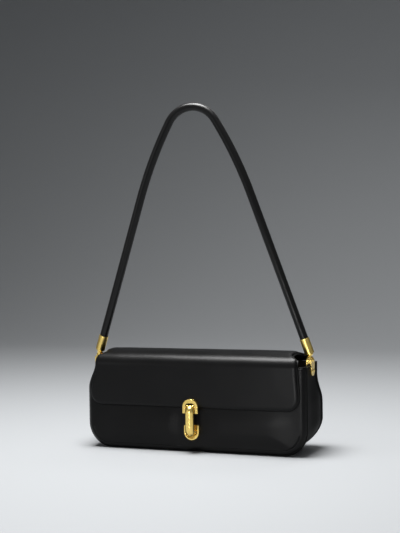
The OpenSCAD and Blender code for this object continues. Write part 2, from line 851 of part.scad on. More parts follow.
// The strap's whole run from start along each leg, joined inside its hairline seams
module strap_run(r_out, r_in, start) {
    splice_in = r_in > 0 ? r_in + 0.4 : 0;
    gap = 2 * seam / crown_r * 57.3;
    for (s = [0, 1]) mirror([s, 0, 0]) {
        leg_frame() translate([0, 0, start]) linear_extrude(leg_len - start - seam) ring(r_out, r_in);
        leg_frame() translate([0, 0, leg_len - 2]) linear_extrude(4) ring(r_out - 0.4, splice_in);
        strap_bend(shoulder, shoulder_r, leg_lean, shoulder_end, r_out, r_in, 360);
    }
    strap_bend([0, crown_z], crown_r, shoulder_end + gap, 180 - shoulder_end - gap, r_out, r_in, 96);
    for (s = [0, 1]) mirror([s, 0, 0])
        strap_bend([0, crown_z], crown_r, shoulder_end - 2, shoulder_end + 2, r_out - 0.4, splice_in, 720);
}

// Space of the grub screw in the back of each ferrule
module grub(r) {
    translate([0, strap_r - 1, collar_t + ferrule_len / 2])
        rotate([-90, 0, 0]) cylinder(r = r, h = ferrule_r - strap_r + 0.6);
}

module strap_leather() {
    color(LEATHER) strap_frame() difference() {
        strap_run(strap_r, core_r, leather_start);
        for (s = [0, 1]) mirror([s, 0, 0]) leg_frame() grub(1);
    }
}

module strap_core() {
    color(LINING) strap_frame() strap_run(core_r, 0, leather_start);
}

module ferrule() {
    color(GOLD) strap_frame() leg_frame() difference() {
        translate([0, 0, collar_t]) cylinder(r = ferrule_r, h = ferrule_len);
        translate([0, 0, leather_start]) cylinder(r = strap_r, h = ferrule_len);
        cylinder(r = collar_r / 2, h = ferrule_len);
        grub(1);
    }
}

module right_ferrule() {
    ferrule();
}

module left_ferrule() {
    mirror([1, 0, 0]) ferrule();
}

module ferrule_screws() {
    color(STEEL) strap_frame() for (s = [0, 1]) mirror([s, 0, 0]) leg_frame() grub(1);
}

// Eye on the pivot pin, an upright neck, a collar and the spigot that holds the ferrule
module knuckle() {
    eye_out = ear_r - 0.3;
    color(GOLD) strap_frame() difference() {
        union() {
            translate([pivot_x - eye_t / 2, 0, 0]) rotate([0, 90, 0]) cylinder(r = eye_out, h = eye_t);
            translate([pivot_x - eye_t / 2, -eye_out, 0]) cube([eye_t, 2 * eye_out, neck_h + 0.3]);
            hull() {
                translate([pivot_x - eye_t / 2 + 0.2, 0.2 - eye_out, ear_r + 0.3])
                    cube([eye_t - 0.4, 2 * eye_out - 0.4, 0.2]);
                leg_frame() cylinder(r = collar_r - 0.1, h = collar_t / 2);
            }
            leg_frame() cylinder(r = collar_r, h = collar_t);
            leg_frame() cylinder(r = collar_r / 2, h = leather_start);
        }
        translate([pivot_x, 0, 0]) rotate([0, 90, 0])
            cylinder(r = pivot_pin_r + pin_clear, h = 2 * eye_t, center = true);
    }
}

module right_knuckle() {
    knuckle();
}

module left_knuckle() {
    mirror([1, 0, 0]) knuckle();
}

front_panel();
back_panel();
left_gusset();
right_gusset();
base_panel();
front_welt();
back_welt();
mouth_binding();
front_stiffener();
back_stiffener();
lining();
slip_pocket();
base_board();
flap_fold();
flap_outer();
flap_padding();
flap_lining();
upper_plate();
upper_backing();
upper_screws();
clasp_pin();
link_bar();
lower_plate();
lower_backing();
lower_screws();
catch_magnet();
left_bracket();
right_bracket();
bracket_rivets();
left_pivot_pin();
right_pivot_pin();
left_knuckle();
right_knuckle();
left_ferrule();
right_ferrule();
ferrule_screws();
strap_leather();
strap_core();
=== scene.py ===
"""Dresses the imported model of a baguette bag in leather, lining and gold-tone metal.

The file is laid out as an add-on: sizes and colours are properties, each piece or group of
like pieces has an operator, and one panel lists them. It is run as a script: main() calls the
operators in order. Lengths are in metres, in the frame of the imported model: +X is the bag's
right as seen from the front, +Y its back and +Z up, with the ground at z = 0.
"""

import math

import bmesh
import bpy
import numpy as np
from mathutils import Matrix, Vector


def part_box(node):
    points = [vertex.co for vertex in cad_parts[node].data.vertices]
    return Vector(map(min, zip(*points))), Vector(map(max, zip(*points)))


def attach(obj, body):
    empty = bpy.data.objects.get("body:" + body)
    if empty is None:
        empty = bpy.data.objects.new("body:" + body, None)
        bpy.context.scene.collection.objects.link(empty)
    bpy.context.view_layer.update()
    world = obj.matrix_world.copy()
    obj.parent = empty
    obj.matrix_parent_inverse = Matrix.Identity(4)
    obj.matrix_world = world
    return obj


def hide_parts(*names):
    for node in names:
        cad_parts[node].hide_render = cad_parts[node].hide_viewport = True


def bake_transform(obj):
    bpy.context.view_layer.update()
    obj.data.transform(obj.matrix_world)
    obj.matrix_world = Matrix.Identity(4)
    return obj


bl_info = {
    "name": "Baguette bag",
    "version": (1, 0, 0),
    "blender": (4, 5, 0),
    "location": "View3D > Sidebar > Bag",
    "description": "Leather, lining and hardware of a baguette bag on its packed frame",
    "category": "Object",
}

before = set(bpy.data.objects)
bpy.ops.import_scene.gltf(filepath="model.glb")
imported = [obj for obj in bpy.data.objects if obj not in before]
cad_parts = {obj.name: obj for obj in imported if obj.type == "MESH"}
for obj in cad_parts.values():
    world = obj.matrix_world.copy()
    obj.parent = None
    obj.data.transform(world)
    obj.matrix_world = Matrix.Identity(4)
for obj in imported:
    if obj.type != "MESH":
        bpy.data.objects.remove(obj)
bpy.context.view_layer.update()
STITCH_PITCH, STITCH_LENGTH = 0.0034, 0.0024


# Shader maths


def maths(operation, swapped=False):
    """A method of Wire that adds a Math node of the wire and one other value."""

    def method(self, other):
        pair = (other, self) if swapped else (self, other)
        return self.finish.node("ShaderNodeMath", {"operation": operation}, dict(enumerate(pair)))

    return method


class Wire:
    """A shader value that takes part in Python expressions by adding Math nodes."""

    __add__, __radd__ = maths("ADD"), maths("ADD", True)
    __sub__, __rsub__ = maths("SUBTRACT"), maths("SUBTRACT", True)
    __mul__, __rmul__ = maths("MULTIPLY"), maths("MULTIPLY", True)
    below, cycle = maths("LESS_THAN"), maths("FLOORED_MODULO")

    def __init__(self, finish, socket):
        self.finish = finish
        self.socket = socket

    def size(self):
        return self.finish.node("ShaderNodeMath", {"operation": "ABSOLUTE"}, {0: self})


class Finish:
    """A material on one Principled shader, built node by node."""

    def __init__(self, name, **constants):
        self.material = bpy.data.materials.new(name)
        self.material.use_nodes = True
        self.tree = self.material.node_tree
        self.tree.nodes.clear()
        self.shader = self.tree.nodes.new("ShaderNodeBsdfPrincipled")
        output = self.tree.nodes.new("ShaderNodeOutputMaterial")
        self.tree.links.new(self.shader.outputs["BSDF"], output.inputs["Surface"])
        for key, value in constants.items():
            self.shader.inputs[key.replace("_", " ")].default_value = value

    def node(self, kind, settings=None, sockets=None, out=0):
        """Adds a node: its settings first, then the values or links of its sockets."""
        made = self.tree.nodes.new(kind)
        for key, value in (settings or {}).items():
            if key == "stops":
                ramp = made.color_ramp
                for i, (place, colour) in enumerate(value):
                    stop = ramp.elements[i] if i < 2 else ramp.elements.new(place)
                    stop.position, stop.color = place, colour
            else:
                setattr(made, key, value)
        for key, value in (sockets or {}).items():
            self.join(value, made.inputs[key])
        return Wire(self, made.outputs[out])

    def join(self, value, socket):
        if isinstance(value, Wire):
            self.tree.links.new(value.socket, socket)
        else:
            socket.default_value = value

    def set(self, name, value):
        self.join(value, self.shader.inputs[name])

    def place(self, scale=(1, 1, 1), source="Object"):
        """Object or UV coordinates, stretched by scale."""
        outlet = 3 if source == "Object" else 2
        where = self.node("ShaderNodeTexCoord", out=outlet)
        return self.node("ShaderNodeMapping", {"vector_type": "POINT"},
                         {"Vector": where, "Scale": scale})

    def noise(self, where, scale, detail=3.0, rough=0.5):
        return self.node("ShaderNodeTexNoise", {},
                         {"Vector": where, "Scale": scale, "Detail": detail, "Roughness": rough})

    def cells(self, where, scale):
        return self.node("ShaderNodeTexVoronoi", {}, {"Vector": where, "Scale": scale})

    def ramp(self, factor, *stops):
        grey = [(place, (v, v, v, 1)) for place, v in stops]
        return self.node("ShaderNodeValToRGB", {"stops": grey}, {"Fac": factor})

    def mix(self, factor, first, second):
        """Mix of two colours: sockets 6 and 7 of the Mix node are its colours."""
        return self.node("ShaderNodeMix", {"data_type": "RGBA"},
                         {0: factor, 6: first, 7: second}, out=2)

    def bump(self, height, distance, normal=None):
        sockets = {"Height": height, "Distance": distance}
        if normal is not None:
            sockets["Normal"] = normal
        return self.node("ShaderNodeBump", {}, sockets)


def shade(colour, share):
    """The colour times share, opaque."""
    return tuple(c * share for c in colour[:3]) + (1.0,)


def leather(name, colour, rough, grain, gloss, coat):
    """Smooth calf: fine pebbled pores, slow changes of tone and gloss, a thin topcoat."""
    f = Finish(name, IOR=1.47, Specular_IOR_Level=gloss, Coat_Weight=coat, Coat_Roughness=0.28)
    where = f.place()
    pores = f.cells(where, 1500.0)
    creases = f.noise(where, 620.0, 4.0, 0.6)
    tone = f.noise(where, 22.0, 3.0, 0.55)
    f.set("Base Color", f.mix(f.ramp(tone, (0.35, 0.0), (0.65, 1.0)),
                              shade(colour, 0.86), shade(colour, 1.16)))
    f.set("Roughness", rough - 0.05 + 0.1 * tone + 0.05 * creases)
    f.set("Normal", f.bump(pores * 0.6 + creases * 0.8, 0.00006 * grain))
    return f.material


def stitched_roll(name, colour):
    """Rolled leather: grain that follows the roll, and a sewn seam with stitches and a groove.

    UV: u is the length along the roll in metres, v the share of a turn, with the seam at 0.5.
    """
    f = Finish(name, IOR=1.47, Specular_IOR_Level=0.3, Coat_Weight=0.05, Coat_Roughness=0.22)
    where = f.place()
    grain = f.noise(where, 900.0, 3.0, 0.6)
    pores = f.cells(where, 1700.0)
    tone = f.noise(where, 30.0)
    run = f.node("ShaderNodeSeparateXYZ", {}, {0: f.place(source="UV")})
    turn = Wire(f, run.socket.node.outputs[1])
    off = (turn - 0.5).size()
    groove = 1.0 - f.ramp(off, (0.0, 0.0), (0.018, 1.0))
    row = (off - 0.055).size().below(0.012)
    dash = run.cycle(STITCH_PITCH).below(STITCH_LENGTH)
    stitch = row * dash
    hole = row * (1.0 - dash)
    f.set("Base Color", f.mix(stitch, f.mix(tone, shade(colour, 0.85), shade(colour, 1.2)),
                              shade(colour, 2.0)))
    f.set("Roughness", 0.3 + 0.08 * tone + 0.25 * stitch)
    relief = grain * 0.5 + pores * 0.4 - 8.0 * groove + 4.0 * stitch - 5.0 * hole
    f.set("Normal", f.bump(relief, 0.00005))
    return f.material


def painted_shade_edge(name, colour):
    """Edge paint: flatter than the leather, with a faint unevenness, and darker than the leather as
    painted shade for the shadow under the flap's lip.
    """
    f = Finish(name, IOR=1.5, Specular_IOR_Level=0.1)
    uneven = f.noise(f.place(), 260.0, 2.0)
    # The colour is half to nine tenths of the leather's: painted shade for the dark line under the
    # flap's lip, which the welts and the mouth binding share.
    f.set("Base Color", f.mix(uneven, shade(colour, 0.5), shade(colour, 0.9)))
    f.set("Roughness", 0.4 + 0.12 * uneven)
    f.set("Normal", f.bump(uneven, 0.00006))
    return f.material


def microfibre(name, colour):
    """Lining with a short nap: soft mottling, no gloss and a light sheen."""
    f = Finish(name, IOR=1.4, Sheen_Weight=0.35, Sheen_Roughness=0.5)
    where = f.place()
    nap = f.noise(where, 1400.0, 4.0, 0.7)
    brushed = f.noise(where, 45.0, 3.0)
    f.set("Base Color", f.mix(brushed * 0.6 + nap * 0.4,
                              shade(colour, 0.75), shade(colour, 1.3)))
    f.set("Roughness", 0.86 + 0.1 * nap)
    f.set("Normal", f.bump(nap, 0.00012))
    return f.material


def metal(name, colour, rough, streak=(1, 1, 1), depth=0.00001):
    """Plated metal: fine polishing lines along one axis, softened edges, slight tarnish."""
    f = Finish(name, Metallic=1.0)
    lines = f.noise(f.place(streak), 420.0, 3.0, 0.6)
    haze = f.noise(f.place(), 55.0, 3.0)
    f.set("Base Color", f.mix(f.ramp(haze, (0.3, 0.0), (0.72, 1.0)),
                              shade(colour, 0.9), shade(colour, 1.04)))
    f.set("Roughness", rough - 0.04 + 0.08 * haze + 0.05 * lines)
    soft = f.node("ShaderNodeBevel", {"samples": 6}, {"Radius": 0.0004})
    f.set("Normal", f.bump(lines, depth, soft))
    return f.material


def thread(name, colour):
    """Waxed thread with its twist."""
    f = Finish(name, Roughness=0.55)
    twist = f.node("ShaderNodeTexWave", {"bands_direction": "DIAGONAL"},
                   {"Vector": f.place(), "Scale": 900.0})
    f.set("Base Color", f.mix(twist, shade(colour, 0.7), shade(colour, 1.3)))
    f.set("Normal", f.bump(twist, 0.00006))
    return f.material


def floor_paint(name, colour):
    """Plain pale floor with the faintest mottling."""
    f = Finish(name, Roughness=0.8)
    cloud = f.noise(f.place(), 3.0, 3.0)
    f.set("Base Color", f.mix(cloud, shade(colour, 0.985), shade(colour, 1.0)))
    return f.material


# Finish: its maker, material name, colour property and further values.
MAKERS = {
    "calf": (leather, "black_calf", "leather", 0.33, 1.0, 0.15, 0.02),
    "calf_side": (leather, "black_calf_side", "leather", 0.52, 1.1, 0.03, 0.0),
    "calf_flap": (leather, "black_calf_flap", "leather", 0.33, 0.9, 0.18, 0.02),
    "roll": (stitched_roll, "rolled_calf", "leather"),
    # The edge paint's darker colour is painted shade for the shadow under the flap's lip.
    "edge": (painted_shade_edge, "edge_paint", "leather"),
    "lining": (microfibre, "microfibre_lining", "lining"),
    "satin": (metal, "satin_gold", "gold", 0.24, (1.0, 1.0, 0.06)),
    "polished": (metal, "polished_gold", "gold", 0.26, (1.0, 1.0, 0.05), 0.000006),
    "steel": (metal, "plated_steel", "steel", 0.35),
    "thread": (thread, "tonal_thread", "thread"),
    "floor": (floor_paint, "pale_floor", "floor"),
}
FINISHES = {}


def finish(key):
    """The finish of that name, made when it is first asked for."""
    if key not in FINISHES:
        make, name, colour, *values = MAKERS[key]
        FINISHES[key] = make(name, getattr(bpy.context.scene.bag_finishes, colour), *values)
    return FINISHES[key]


# Surfaces


def ease(t):
    """Half a cosine from 0 to 1 as t goes from 0 to 1."""
    return (1 - np.cos(np.pi * np.clip(t, 0, 1))) / 2


def between(value, start, end):
    """The same as value goes from start to end, which may be the smaller."""
    return ease((value - start) / (end - start))


def arc(x, z, radius, angle):
    """Points at those angles on a circle about (x, z)."""
    return np.stack([x + radius * np.cos(angle), z + radius * np.sin(angle)], -1)


def rows_of_faces(rows, columns, first, wrap):
    """Quads of a grid whose vertex (row, column) is first + row * columns + column."""
    last = columns if wrap else columns - 1
    r, c = np.meshgrid(np.arange(rows - 1), np.arange(last), indexing="ij")
    a, b = r * columns + c, r * columns + (c + 1) % columns
    return first + np.stack([a, b, b + columns, a + columns], -1).reshape(-1, 4)


def build(name, grids, material, wraps=None, uvs=None, flip=False, merge=True):
    """A mesh object from grids of points, each (rows, columns, 3), welded where they meet."""
    points, faces, texture, start = [], [], [], 0
    for i, grid in enumerate(grids):
        rows, columns = grid.shape[:2]
        faces.append(rows_of_faces(rows, columns, start, bool(wraps and wraps[i])))
        points.append(grid.reshape(-1, 3))
        start += rows * columns
        if uvs is not None:
            texture.append(uvs[i].reshape(-1, 2))
    points, faces = np.concatenate(points), np.concatenate(faces)
    if flip:
        faces = faces[:, ::-1]
    mesh = bpy.data.meshes.new(name)
    mesh.from_pydata(points.tolist(), [], faces.tolist())
    if uvs is not None:
        layer = mesh.uv_layers.new(name="UVMap")
        corners = np.empty(len(mesh.loops), np.int32)
        mesh.loops.foreach_get("vertex_index", corners)
        layer.data.foreach_set("uv", np.concatenate(texture)[corners].ravel())
    if merge:
        work = bmesh.new()
        work.from_mesh(mesh)
        bmesh.ops.remove_doubles(work, verts=work.verts, dist=1e-6)
        bmesh.ops.dissolve_degenerate(work, edges=work.edges, dist=1e-7)
        work.to_mesh(mesh)
        work.free()
    mesh.materials.append(material)
    mesh.polygons.foreach_set("use_smooth", np.ones(len(mesh.polygons), bool))
    mesh.update()
    made = bpy.data.objects.new(name, mesh)
    bpy.context.scene.collection.objects.link(made)
    return made


def thicken(piece, thickness):
    """Gives a sheet its thickness, behind the face that its normals point away from."""
    wall = piece.modifiers.new("Wall", "SOLIDIFY")
    wall.thickness = thickness
    wall.offset = -1.0


def outward(piece):
    """Turns the faces of a closed piece outwards."""
    work = bmesh.new()
    work.from_mesh(piece.data)
    bmesh.ops.recalc_face_normals(work, faces=work.faces)
    work.to_mesh(piece.data)
    work.free()


def u_side(half, low, high, corner, steps=30, turn_steps=20):
    """Left side of a U outline: straight down at x = -half from high, then a quarter circle of
    radius corner that ends at (-half + corner, low). Returns points and outward normals."""
    angle = np.linspace(np.pi, 1.5 * np.pi, turn_steps)[1:]
    side = np.stack([np.full(steps, -half), np.linspace(high, low + corner, steps)], -1)
    points = np.concatenate([side, arc(-half + corner, low + corner, corner, angle)])
    return points, np.concatenate([np.tile([[-1.0, 0.0]], (steps, 1)), arc(0, 0, 1, angle)])


def mirrored(points):
    """The same points on the other side of x = 0."""
    return points * np.array([-1.0] + [1.0] * (points.shape[-1] - 1))


def across(left, count):
    """Rows of points from each left point straight to its mirror image."""
    t = np.linspace(0, 1, count)[None, :, None]
    return left[:, None] * (1 - t) + mirrored(left)[:, None] * t


def round_the_edge(left, normals, count, closed):
    """The whole outline as one run of points and normals: left side, bottom, right side and,
    when closed, back along the top."""
    t = np.linspace(0, 1, count)[1:-1, None]
    bottom = left[-1] * (1 - t) + mirrored(left[-1]) * t
    parts = [left, bottom, mirrored(left)[::-1]]
    turned = [normals, np.tile([[0.0, -1.0]], (len(bottom), 1)), mirrored(normals)[::-1]]
    if closed:
        top = mirrored(left[0]) * (1 - t) + left[0] * t
        parts.append(top)
        turned.append(np.tile([[0.0, 1.0]], (len(top), 1)))
    return np.concatenate(parts), np.concatenate(turned)


def seam_to_face(depth, radius, straight=0):
    """Profile from a seam to a face as (inset, forward): straight forward by depth - radius,
    then a quarter circle of that radius. radius may be an array, one for each outline point."""
    angle = np.linspace(0, np.pi / 2, 9)[:, None]
    inset = radius * (1 - np.cos(angle))
    forward = depth - radius + radius * np.sin(angle)
    if straight:
        lead = np.linspace(0, 1, straight, endpoint=False)[:, None]
        inset = np.concatenate([0 * lead * radius, inset])
        forward = np.concatenate([lead * (depth - radius), forward])
    return inset, forward


def ripple(a, b, size):
    """Slow waves of a few centimetres: a sum of three sines in two directions."""
    return size * (np.sin(61 * a + 1.3) * np.sin(83 * b + 0.4)
                   + 0.6 * np.sin(113 * a - 37 * b + 2.1) + 0.5 * np.sin(29 * a + 141 * b)) / 2.1


def stitches(name, path, normals, body):
    """Stitches along a path: at each pitch of arc length a flat-ended capsule, six-sided, that
    sinks at both ends. path and normals are (n, 3)."""
    thick = 0.00032
    gaps = np.linalg.norm(np.diff(path, axis=0), axis=1)
    run = np.concatenate([[0], np.cumsum(gaps)])
    middles = np.arange(STITCH_PITCH / 2, run[-1] - STITCH_PITCH / 2, STITCH_PITCH)
    t = np.linspace(-0.5, 0.5, 5)
    at = middles[:, None] + t[None] * STITCH_LENGTH
    centre = np.stack([np.interp(at, run, path[:, i]) for i in range(3)], -1)
    up = np.stack([np.interp(at, run, normals[:, i]) for i in range(3)], -1)
    up /= np.linalg.norm(up, axis=-1, keepdims=True)
    along = np.gradient(centre, axis=1)
    along /= np.linalg.norm(along, axis=-1, keepdims=True)
    side = np.cross(up, along)
    swell = np.sqrt(1 - (2 * t * 0.96) ** 2)[None, :, None]
    centre = centre + up * thick * (0.55 * swell - 0.35)
    angle = np.linspace(0, 2 * np.pi, 7)[:-1]
    ring = (np.cos(angle)[:, None] * side[..., None, :]
            + 0.7 * np.sin(angle)[:, None] * up[..., None, :])
    grids = list(centre[..., None, :] + thick * swell[..., None] * ring)
    made = build(name, grids, finish("thread"), [True] * len(grids), merge=False)
    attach(made, body)


# Properties


def length(name, default, description):
    return bpy.props.FloatProperty(
        name=name, description=description, default=default, min=0.0, unit="LENGTH")


def tint(name, default, description):
    return bpy.props.FloatVectorProperty(
        name=name, description=description, default=default, subtype="COLOR", size=3,
        min=0.0, max=1.0)


class BagBodySizes(bpy.types.PropertyGroup):
    width: length("Width", 0.260, "Width across the gussets")
    depth: length("Depth", 0.074, "Depth at the belly")
    mouth: length("Mouth height", 0.097, "Height of the mouth edge")
    lift: length("Lift", 0.001, "Height of the panels' lower edge")
    corner: length("Front corner", 0.028, "Corner radius of the front outline")
    back_corner: length("Back corner", 0.036, "Corner radius of the back outline")
    front_round: length("Front rounding", 0.006, "Rounding of the front into its seam")
    back_round: length("Back rounding", 0.012, "Rounding of the back into its seam")
    waist_in: length("Waist", 0.013, "How far the back draws in at the waist")
    waist_z: length("Waist height", 0.086, "Height where the waist begins")
    belly_z: length("Belly height", 0.052, "Height where the belly ends")
    leather: length("Leather", 0.0022, "Thickness of the body leather")
    lining: length("Lining", 0.0012, "Thickness of the lining")
    welt: length("Welt", 0.0013, "Radius of the welt cord")
    binding: length("Binding", 0.0016, "Height of the mouth binding")


class BagFlapSizes(bpy.types.PropertyGroup):
    side_in: length("Side inset", 0.0057, "How far the lip stands in from the body's side")
    waist_side: length("Waist inset", 0.016, "The same between the strap's ends")
    rear_side: length("Rear inset", 0.010, "The same behind the strap's ends")
    top_side: length("Bend inset", 0.0075, "The same where the front meets the bend")
    top: length("Top height", 0.1135, "Height of the flap's top face")
    edge: length("Edge height", 0.0495, "Height of the lip's lower edge")
    corner: length("Corner", 0.015, "Radius of the lower corners")
    bend: length("Front bend", 0.015, "Radius of the bend to the front")
    rear: length("Rear bend", 0.0095, "Radius of the bend at the back")
    pad: length("Padding", 0.003, "Thickness of the padded outer layer")
    lining: length("Lining", 0.0014, "Thickness of the layer that shows as a lip")
    lip: length("Lip", 0.0018, "How far the lip stands out")
    gap: length("Gap", 0.0006, "Gap between the flap and the front panel")
    roll: length("Edge roll", 0.0042, "Width over which the padding rolls down to its edge")


class BagStrapSizes(bpy.types.PropertyGroup):
    rise: length("Rise", 0.2857, "Height of the crown above the pivots")
    apex: length("Apex", 0.0869, "Height above the crown where the legs' lines would meet")
    leg: length("Leg", 0.185, "Straight height of each leg")
    crown: length("Crown radius", 0.032, "Radius of the crown")
    radius: length("Radius", 0.0047, "Radius of the rolled leather")
    pivot: length("Pivot height", 0.1038, "Height of the pivot axis")
    ahead: length("Pivot ahead", 0.0065, "Distance of the pivots in front of the middle")
    neck: length("Neck", 0.0059, "Height of the knuckle's neck")
    start: length("Start", 0.0028, "Where the leather starts above the neck")
    lean: bpy.props.FloatProperty(
        name="Lean", description="Forward lean of the standing strap",
        default=math.radians(4.5), subtype="ANGLE")


class BagFinishes(bpy.types.PropertyGroup):
    leather: tint("Leather", (0.0028, 0.0027, 0.0028), "Black calf")
    lining: tint("Lining", (0.050, 0.042, 0.036), "Dark taupe microfibre")
    gold: tint("Gold", (0.97, 0.71, 0.21), "Gold-tone plating")
    steel: tint("Steel", (0.52, 0.52, 0.53), "Plated steel")
    thread: tint("Thread", (0.016, 0.016, 0.017), "Tonal thread")
    floor: tint("Floor", (0.33, 0.34, 0.35), "Pale floor")


class BagStudio(bpy.types.PropertyGroup):
    distance: length("Camera distance", 1.177, "From the camera to its target")
    yaw: bpy.props.FloatProperty(
        name="Yaw", description="How far the camera stands round to the bag's right",
        default=math.radians(20.0), subtype="ANGLE")
    pitch: bpy.props.FloatProperty(
        name="Pitch", description="Downward tilt of the camera",
        default=math.radians(0.56), subtype="ANGLE")
    roll: bpy.props.FloatProperty(
        name="Roll", description="Roll of the camera", default=math.radians(-0.78),
        subtype="ANGLE")
    target: bpy.props.FloatVectorProperty(
        name="Target", description="Point that the camera looks at",
        default=(-0.0025, 0.0, 0.2083), subtype="TRANSLATION", size=3)
    focal: bpy.props.FloatProperty(
        name="Focal length", description="Focal length in millimetres on a 36 mm sensor",
        default=91.62, min=1.0)


def scene_sizes():
    s = bpy.context.scene
    return s.bag_body, s.bag_flap, s.bag_strap


# Shapes of the body

BACK_RISE = 0.0027  # height of the back's top above the mouth
WAIST_ROUND = 0.006  # rounding of the back into its seam at the waist
CORNER_DRAW = 0.0085  # how far the front's upper left corner is drawn in
SIDE_SWELL = 0.0027  # how far the belly swells at the sides
REAR_SWELL = 0.0004  # how far it swells at the back
REAR_END_SWELL = 0.0016  # how much more it swells there towards the ends
FRONT_SWELL = 0.0024  # how far the front swells low down
GUSSET_SWELL = 0.0011  # how far the gussets swell between their seams
FRONT_RIPPLE, BACK_RIPPLE, FLAP_RIPPLE = 0.00016, 0.0002, 0.00018


def back_at(z, b):
    """Back surface: half the depth up to the belly, then half a cosine in to the waist."""
    return b.depth / 2 - b.waist_in * between(z, b.belly_z, b.waist_z)


def settle(grid):
    """How the soft body stands: the upper left corner of its front is drawn in towards the
    mouth, and the belly swells at the sides and the back. Each is a product of eased steps."""
    x, y, z = grid[..., 0], grid[..., 1], grid[..., 2]
    drawn = between(z, 0.068, 0.098) * between(-y, 0.0125, 0.0265) * between(-x, 0.085, 0.120)
    belly = between(z, 0.006, 0.036) * between(z, 0.088, 0.058)
    side = belly * between(y, -0.020, 0.015) * between(np.abs(x), 0.100, 0.128)
    rear = belly * between(y, 0.012, 0.032)
    out = REAR_SWELL + REAR_END_SWELL * between(np.abs(x), 0.060, 0.120)
    moved = x + CORNER_DRAW * drawn + SIDE_SWELL * side * np.sign(x)
    return np.stack([moved, y + out * rear, z], -1)


def clasp_calm(x):
    """1 away from the clasp, falling to 0 behind it, so that the plates lie flat."""
    return between(np.abs(x), 0.012, 0.032)


def rolled_sheet(left, normals, depth, roll, seam, face, straight=0):
    """A panel from the left half of its outline: a strip that rolls from the seam to the face
    by depth, on the radius roll(z), and the face. seam(z, forward) and face(x, z) give y."""
    edge, turned = round_the_edge(left, normals, 91, False)
    inset, forward = seam_to_face(depth, roll(edge[:, 1])[None], straight)
    xz = edge[None] - turned[None] * inset[..., None]
    strip = np.stack([xz[..., 0], seam(xz[..., 1], forward), xz[..., 1]], -1)
    inner = across(left - normals * roll(left[:, 1])[:, None], 91)
    x, z = inner[..., 0], inner[..., 1]
    return [strip, np.stack([x, face(x, z), z], -1)[:, ::-1]]


def front_sheet(inset):
    """Front panel moved in by inset: rounded lower corners, an edge that rolls on a quarter
    circle, and a face with a swell low down. Returns its grids."""
    b = bpy.context.scene.bag_body
    seam_y = -b.depth / 2 + b.front_round
    left, normals = u_side(b.width / 2 - inset, b.lift + inset, b.mouth, b.corner - inset)
    radius = b.front_round - inset

    def face(x, z):
        rim = np.minimum((b.width / 2 - inset - b.front_round - np.abs(x)) / 0.04,
                         (z - b.lift - 0.004) / 0.02)
        swell = FRONT_SWELL * between(z, 0.057, 0.031) + ripple(x, z, FRONT_RIPPLE)
        return seam_y - radius - swell * ease(rim) * clasp_calm(x)

    return rolled_sheet(left, normals, radius, lambda z: np.full(len(z), radius),
                        lambda z, forward: seam_y - forward, face)


def back_sheet(inset):
    """Back panel moved in by inset: a wider roll that tightens at the waist, and a face that
    follows the back's S. Returns its grids."""
    b = bpy.context.scene.bag_body
    left, normals = u_side(b.width / 2 - inset, b.lift + inset, b.mouth + BACK_RISE,
                           b.back_corner - inset, 40)
    depth = b.back_round - inset

    def roll(z):
        return depth - (b.back_round - WAIST_ROUND) * between(z, b.belly_z, b.waist_z)

    def face(x, z):
        rim = np.minimum(b.width / 2 - inset - np.abs(x), z - b.lift) / 0.03
        low = between(z, b.waist_z, b.waist_z - 0.02)
        return back_at(z, b) - inset + ripple(x, z, BACK_RIPPLE) * ease(rim) * low

    return rolled_sheet(left, normals, depth, roll,
                        lambda z, forward: back_at(z, b) - b.back_round + forward, face, 4)


def side_rows(inset, top):
    """The two seam outlines that the gussets and base run between: front and back, matched
    point for point. Returns points (2, n, 3), outward normals (n, 2) and the corner's index."""
    b = bpy.context.scene.bag_body
    half, low = b.width / 2 - inset, b.lift + inset
    f, nf = u_side(half, low, top, b.corner - inset, 36, 24)
    r, nr = u_side(half, low, top, b.back_corner - inset, 36, 24)
    front = np.stack([f[:, 0], np.full(len(f), -b.depth / 2 + b.front_round), f[:, 1]], -1)
    back = np.stack([r[:, 0], back_at(r[:, 1], b) - b.back_round, r[:, 1]], -1)
    return np.stack([front, back]), nf


def side_sheet(inset, sag, columns=31):
    """Left gusset from the mouth to the base: a ruled surface between the seam outlines that
    swells outwards by a sine across its width, and less near the mouth and the ground."""
    b = bpy.context.scene.bag_body
    seams, normals = side_rows(inset, b.mouth)
    t = np.linspace(0, 1, columns)[None, :, None]
    grid = seams[0][:, None] * (1 - t) + seams[1][:, None] * t
    swell = sag * np.sin(np.pi * t[..., 0]) ** 0.8
    high = between(grid[..., 2], b.mouth - 0.014, b.mouth - 0.044)
    low = between(grid[..., 2], 0.003, 0.025)
    wave = swell * high * low * (1 + 0.35 * np.sin(70 * grid[..., 2] + 2.0))
    grid[..., 0] += normals[:, None, 0] * wave
    grid[..., 2] += normals[:, None, 1] * wave
    return grid


def base_sheet(inset, drop):
    """Base between the corners' ends: flat, and lowered by drop within its seams."""
    b = bpy.context.scene.bag_body
    grid = across(side_sheet(inset, 0.0)[-1], 61).swapaxes(0, 1)
    t = np.linspace(0, 1, 61)[:, None]
    y = grid[..., 1]
    near = np.minimum(y - y.min(axis=1, keepdims=True), y.max(axis=1, keepdims=True) - y)
    ends = np.minimum(t, 1 - t) * (b.width - 2 * b.corner)
    grid[..., 2] -= drop * ease(np.minimum(near, ends) / 0.004)
    return grid


def welt_path(front):
    """The seam that a welt follows, from the left mouth round the bottom to the right mouth."""
    b = bpy.context.scene.bag_body
    top = b.mouth if front else b.mouth + BACK_RISE
    corner = b.corner if front else b.back_corner
    left, normals = u_side(b.width / 2, b.lift, top, corner, 36, 24)
    edge, turned = round_the_edge(left, normals, 61, False)
    y = (np.full(len(edge), -b.depth / 2 + b.front_round) if front
         else back_at(edge[:, 1], b) - b.back_round)
    return (np.stack([edge[:, 0], y, edge[:, 1]], -1),
            np.stack([turned[:, 0], 0 * y, turned[:, 1]], -1))


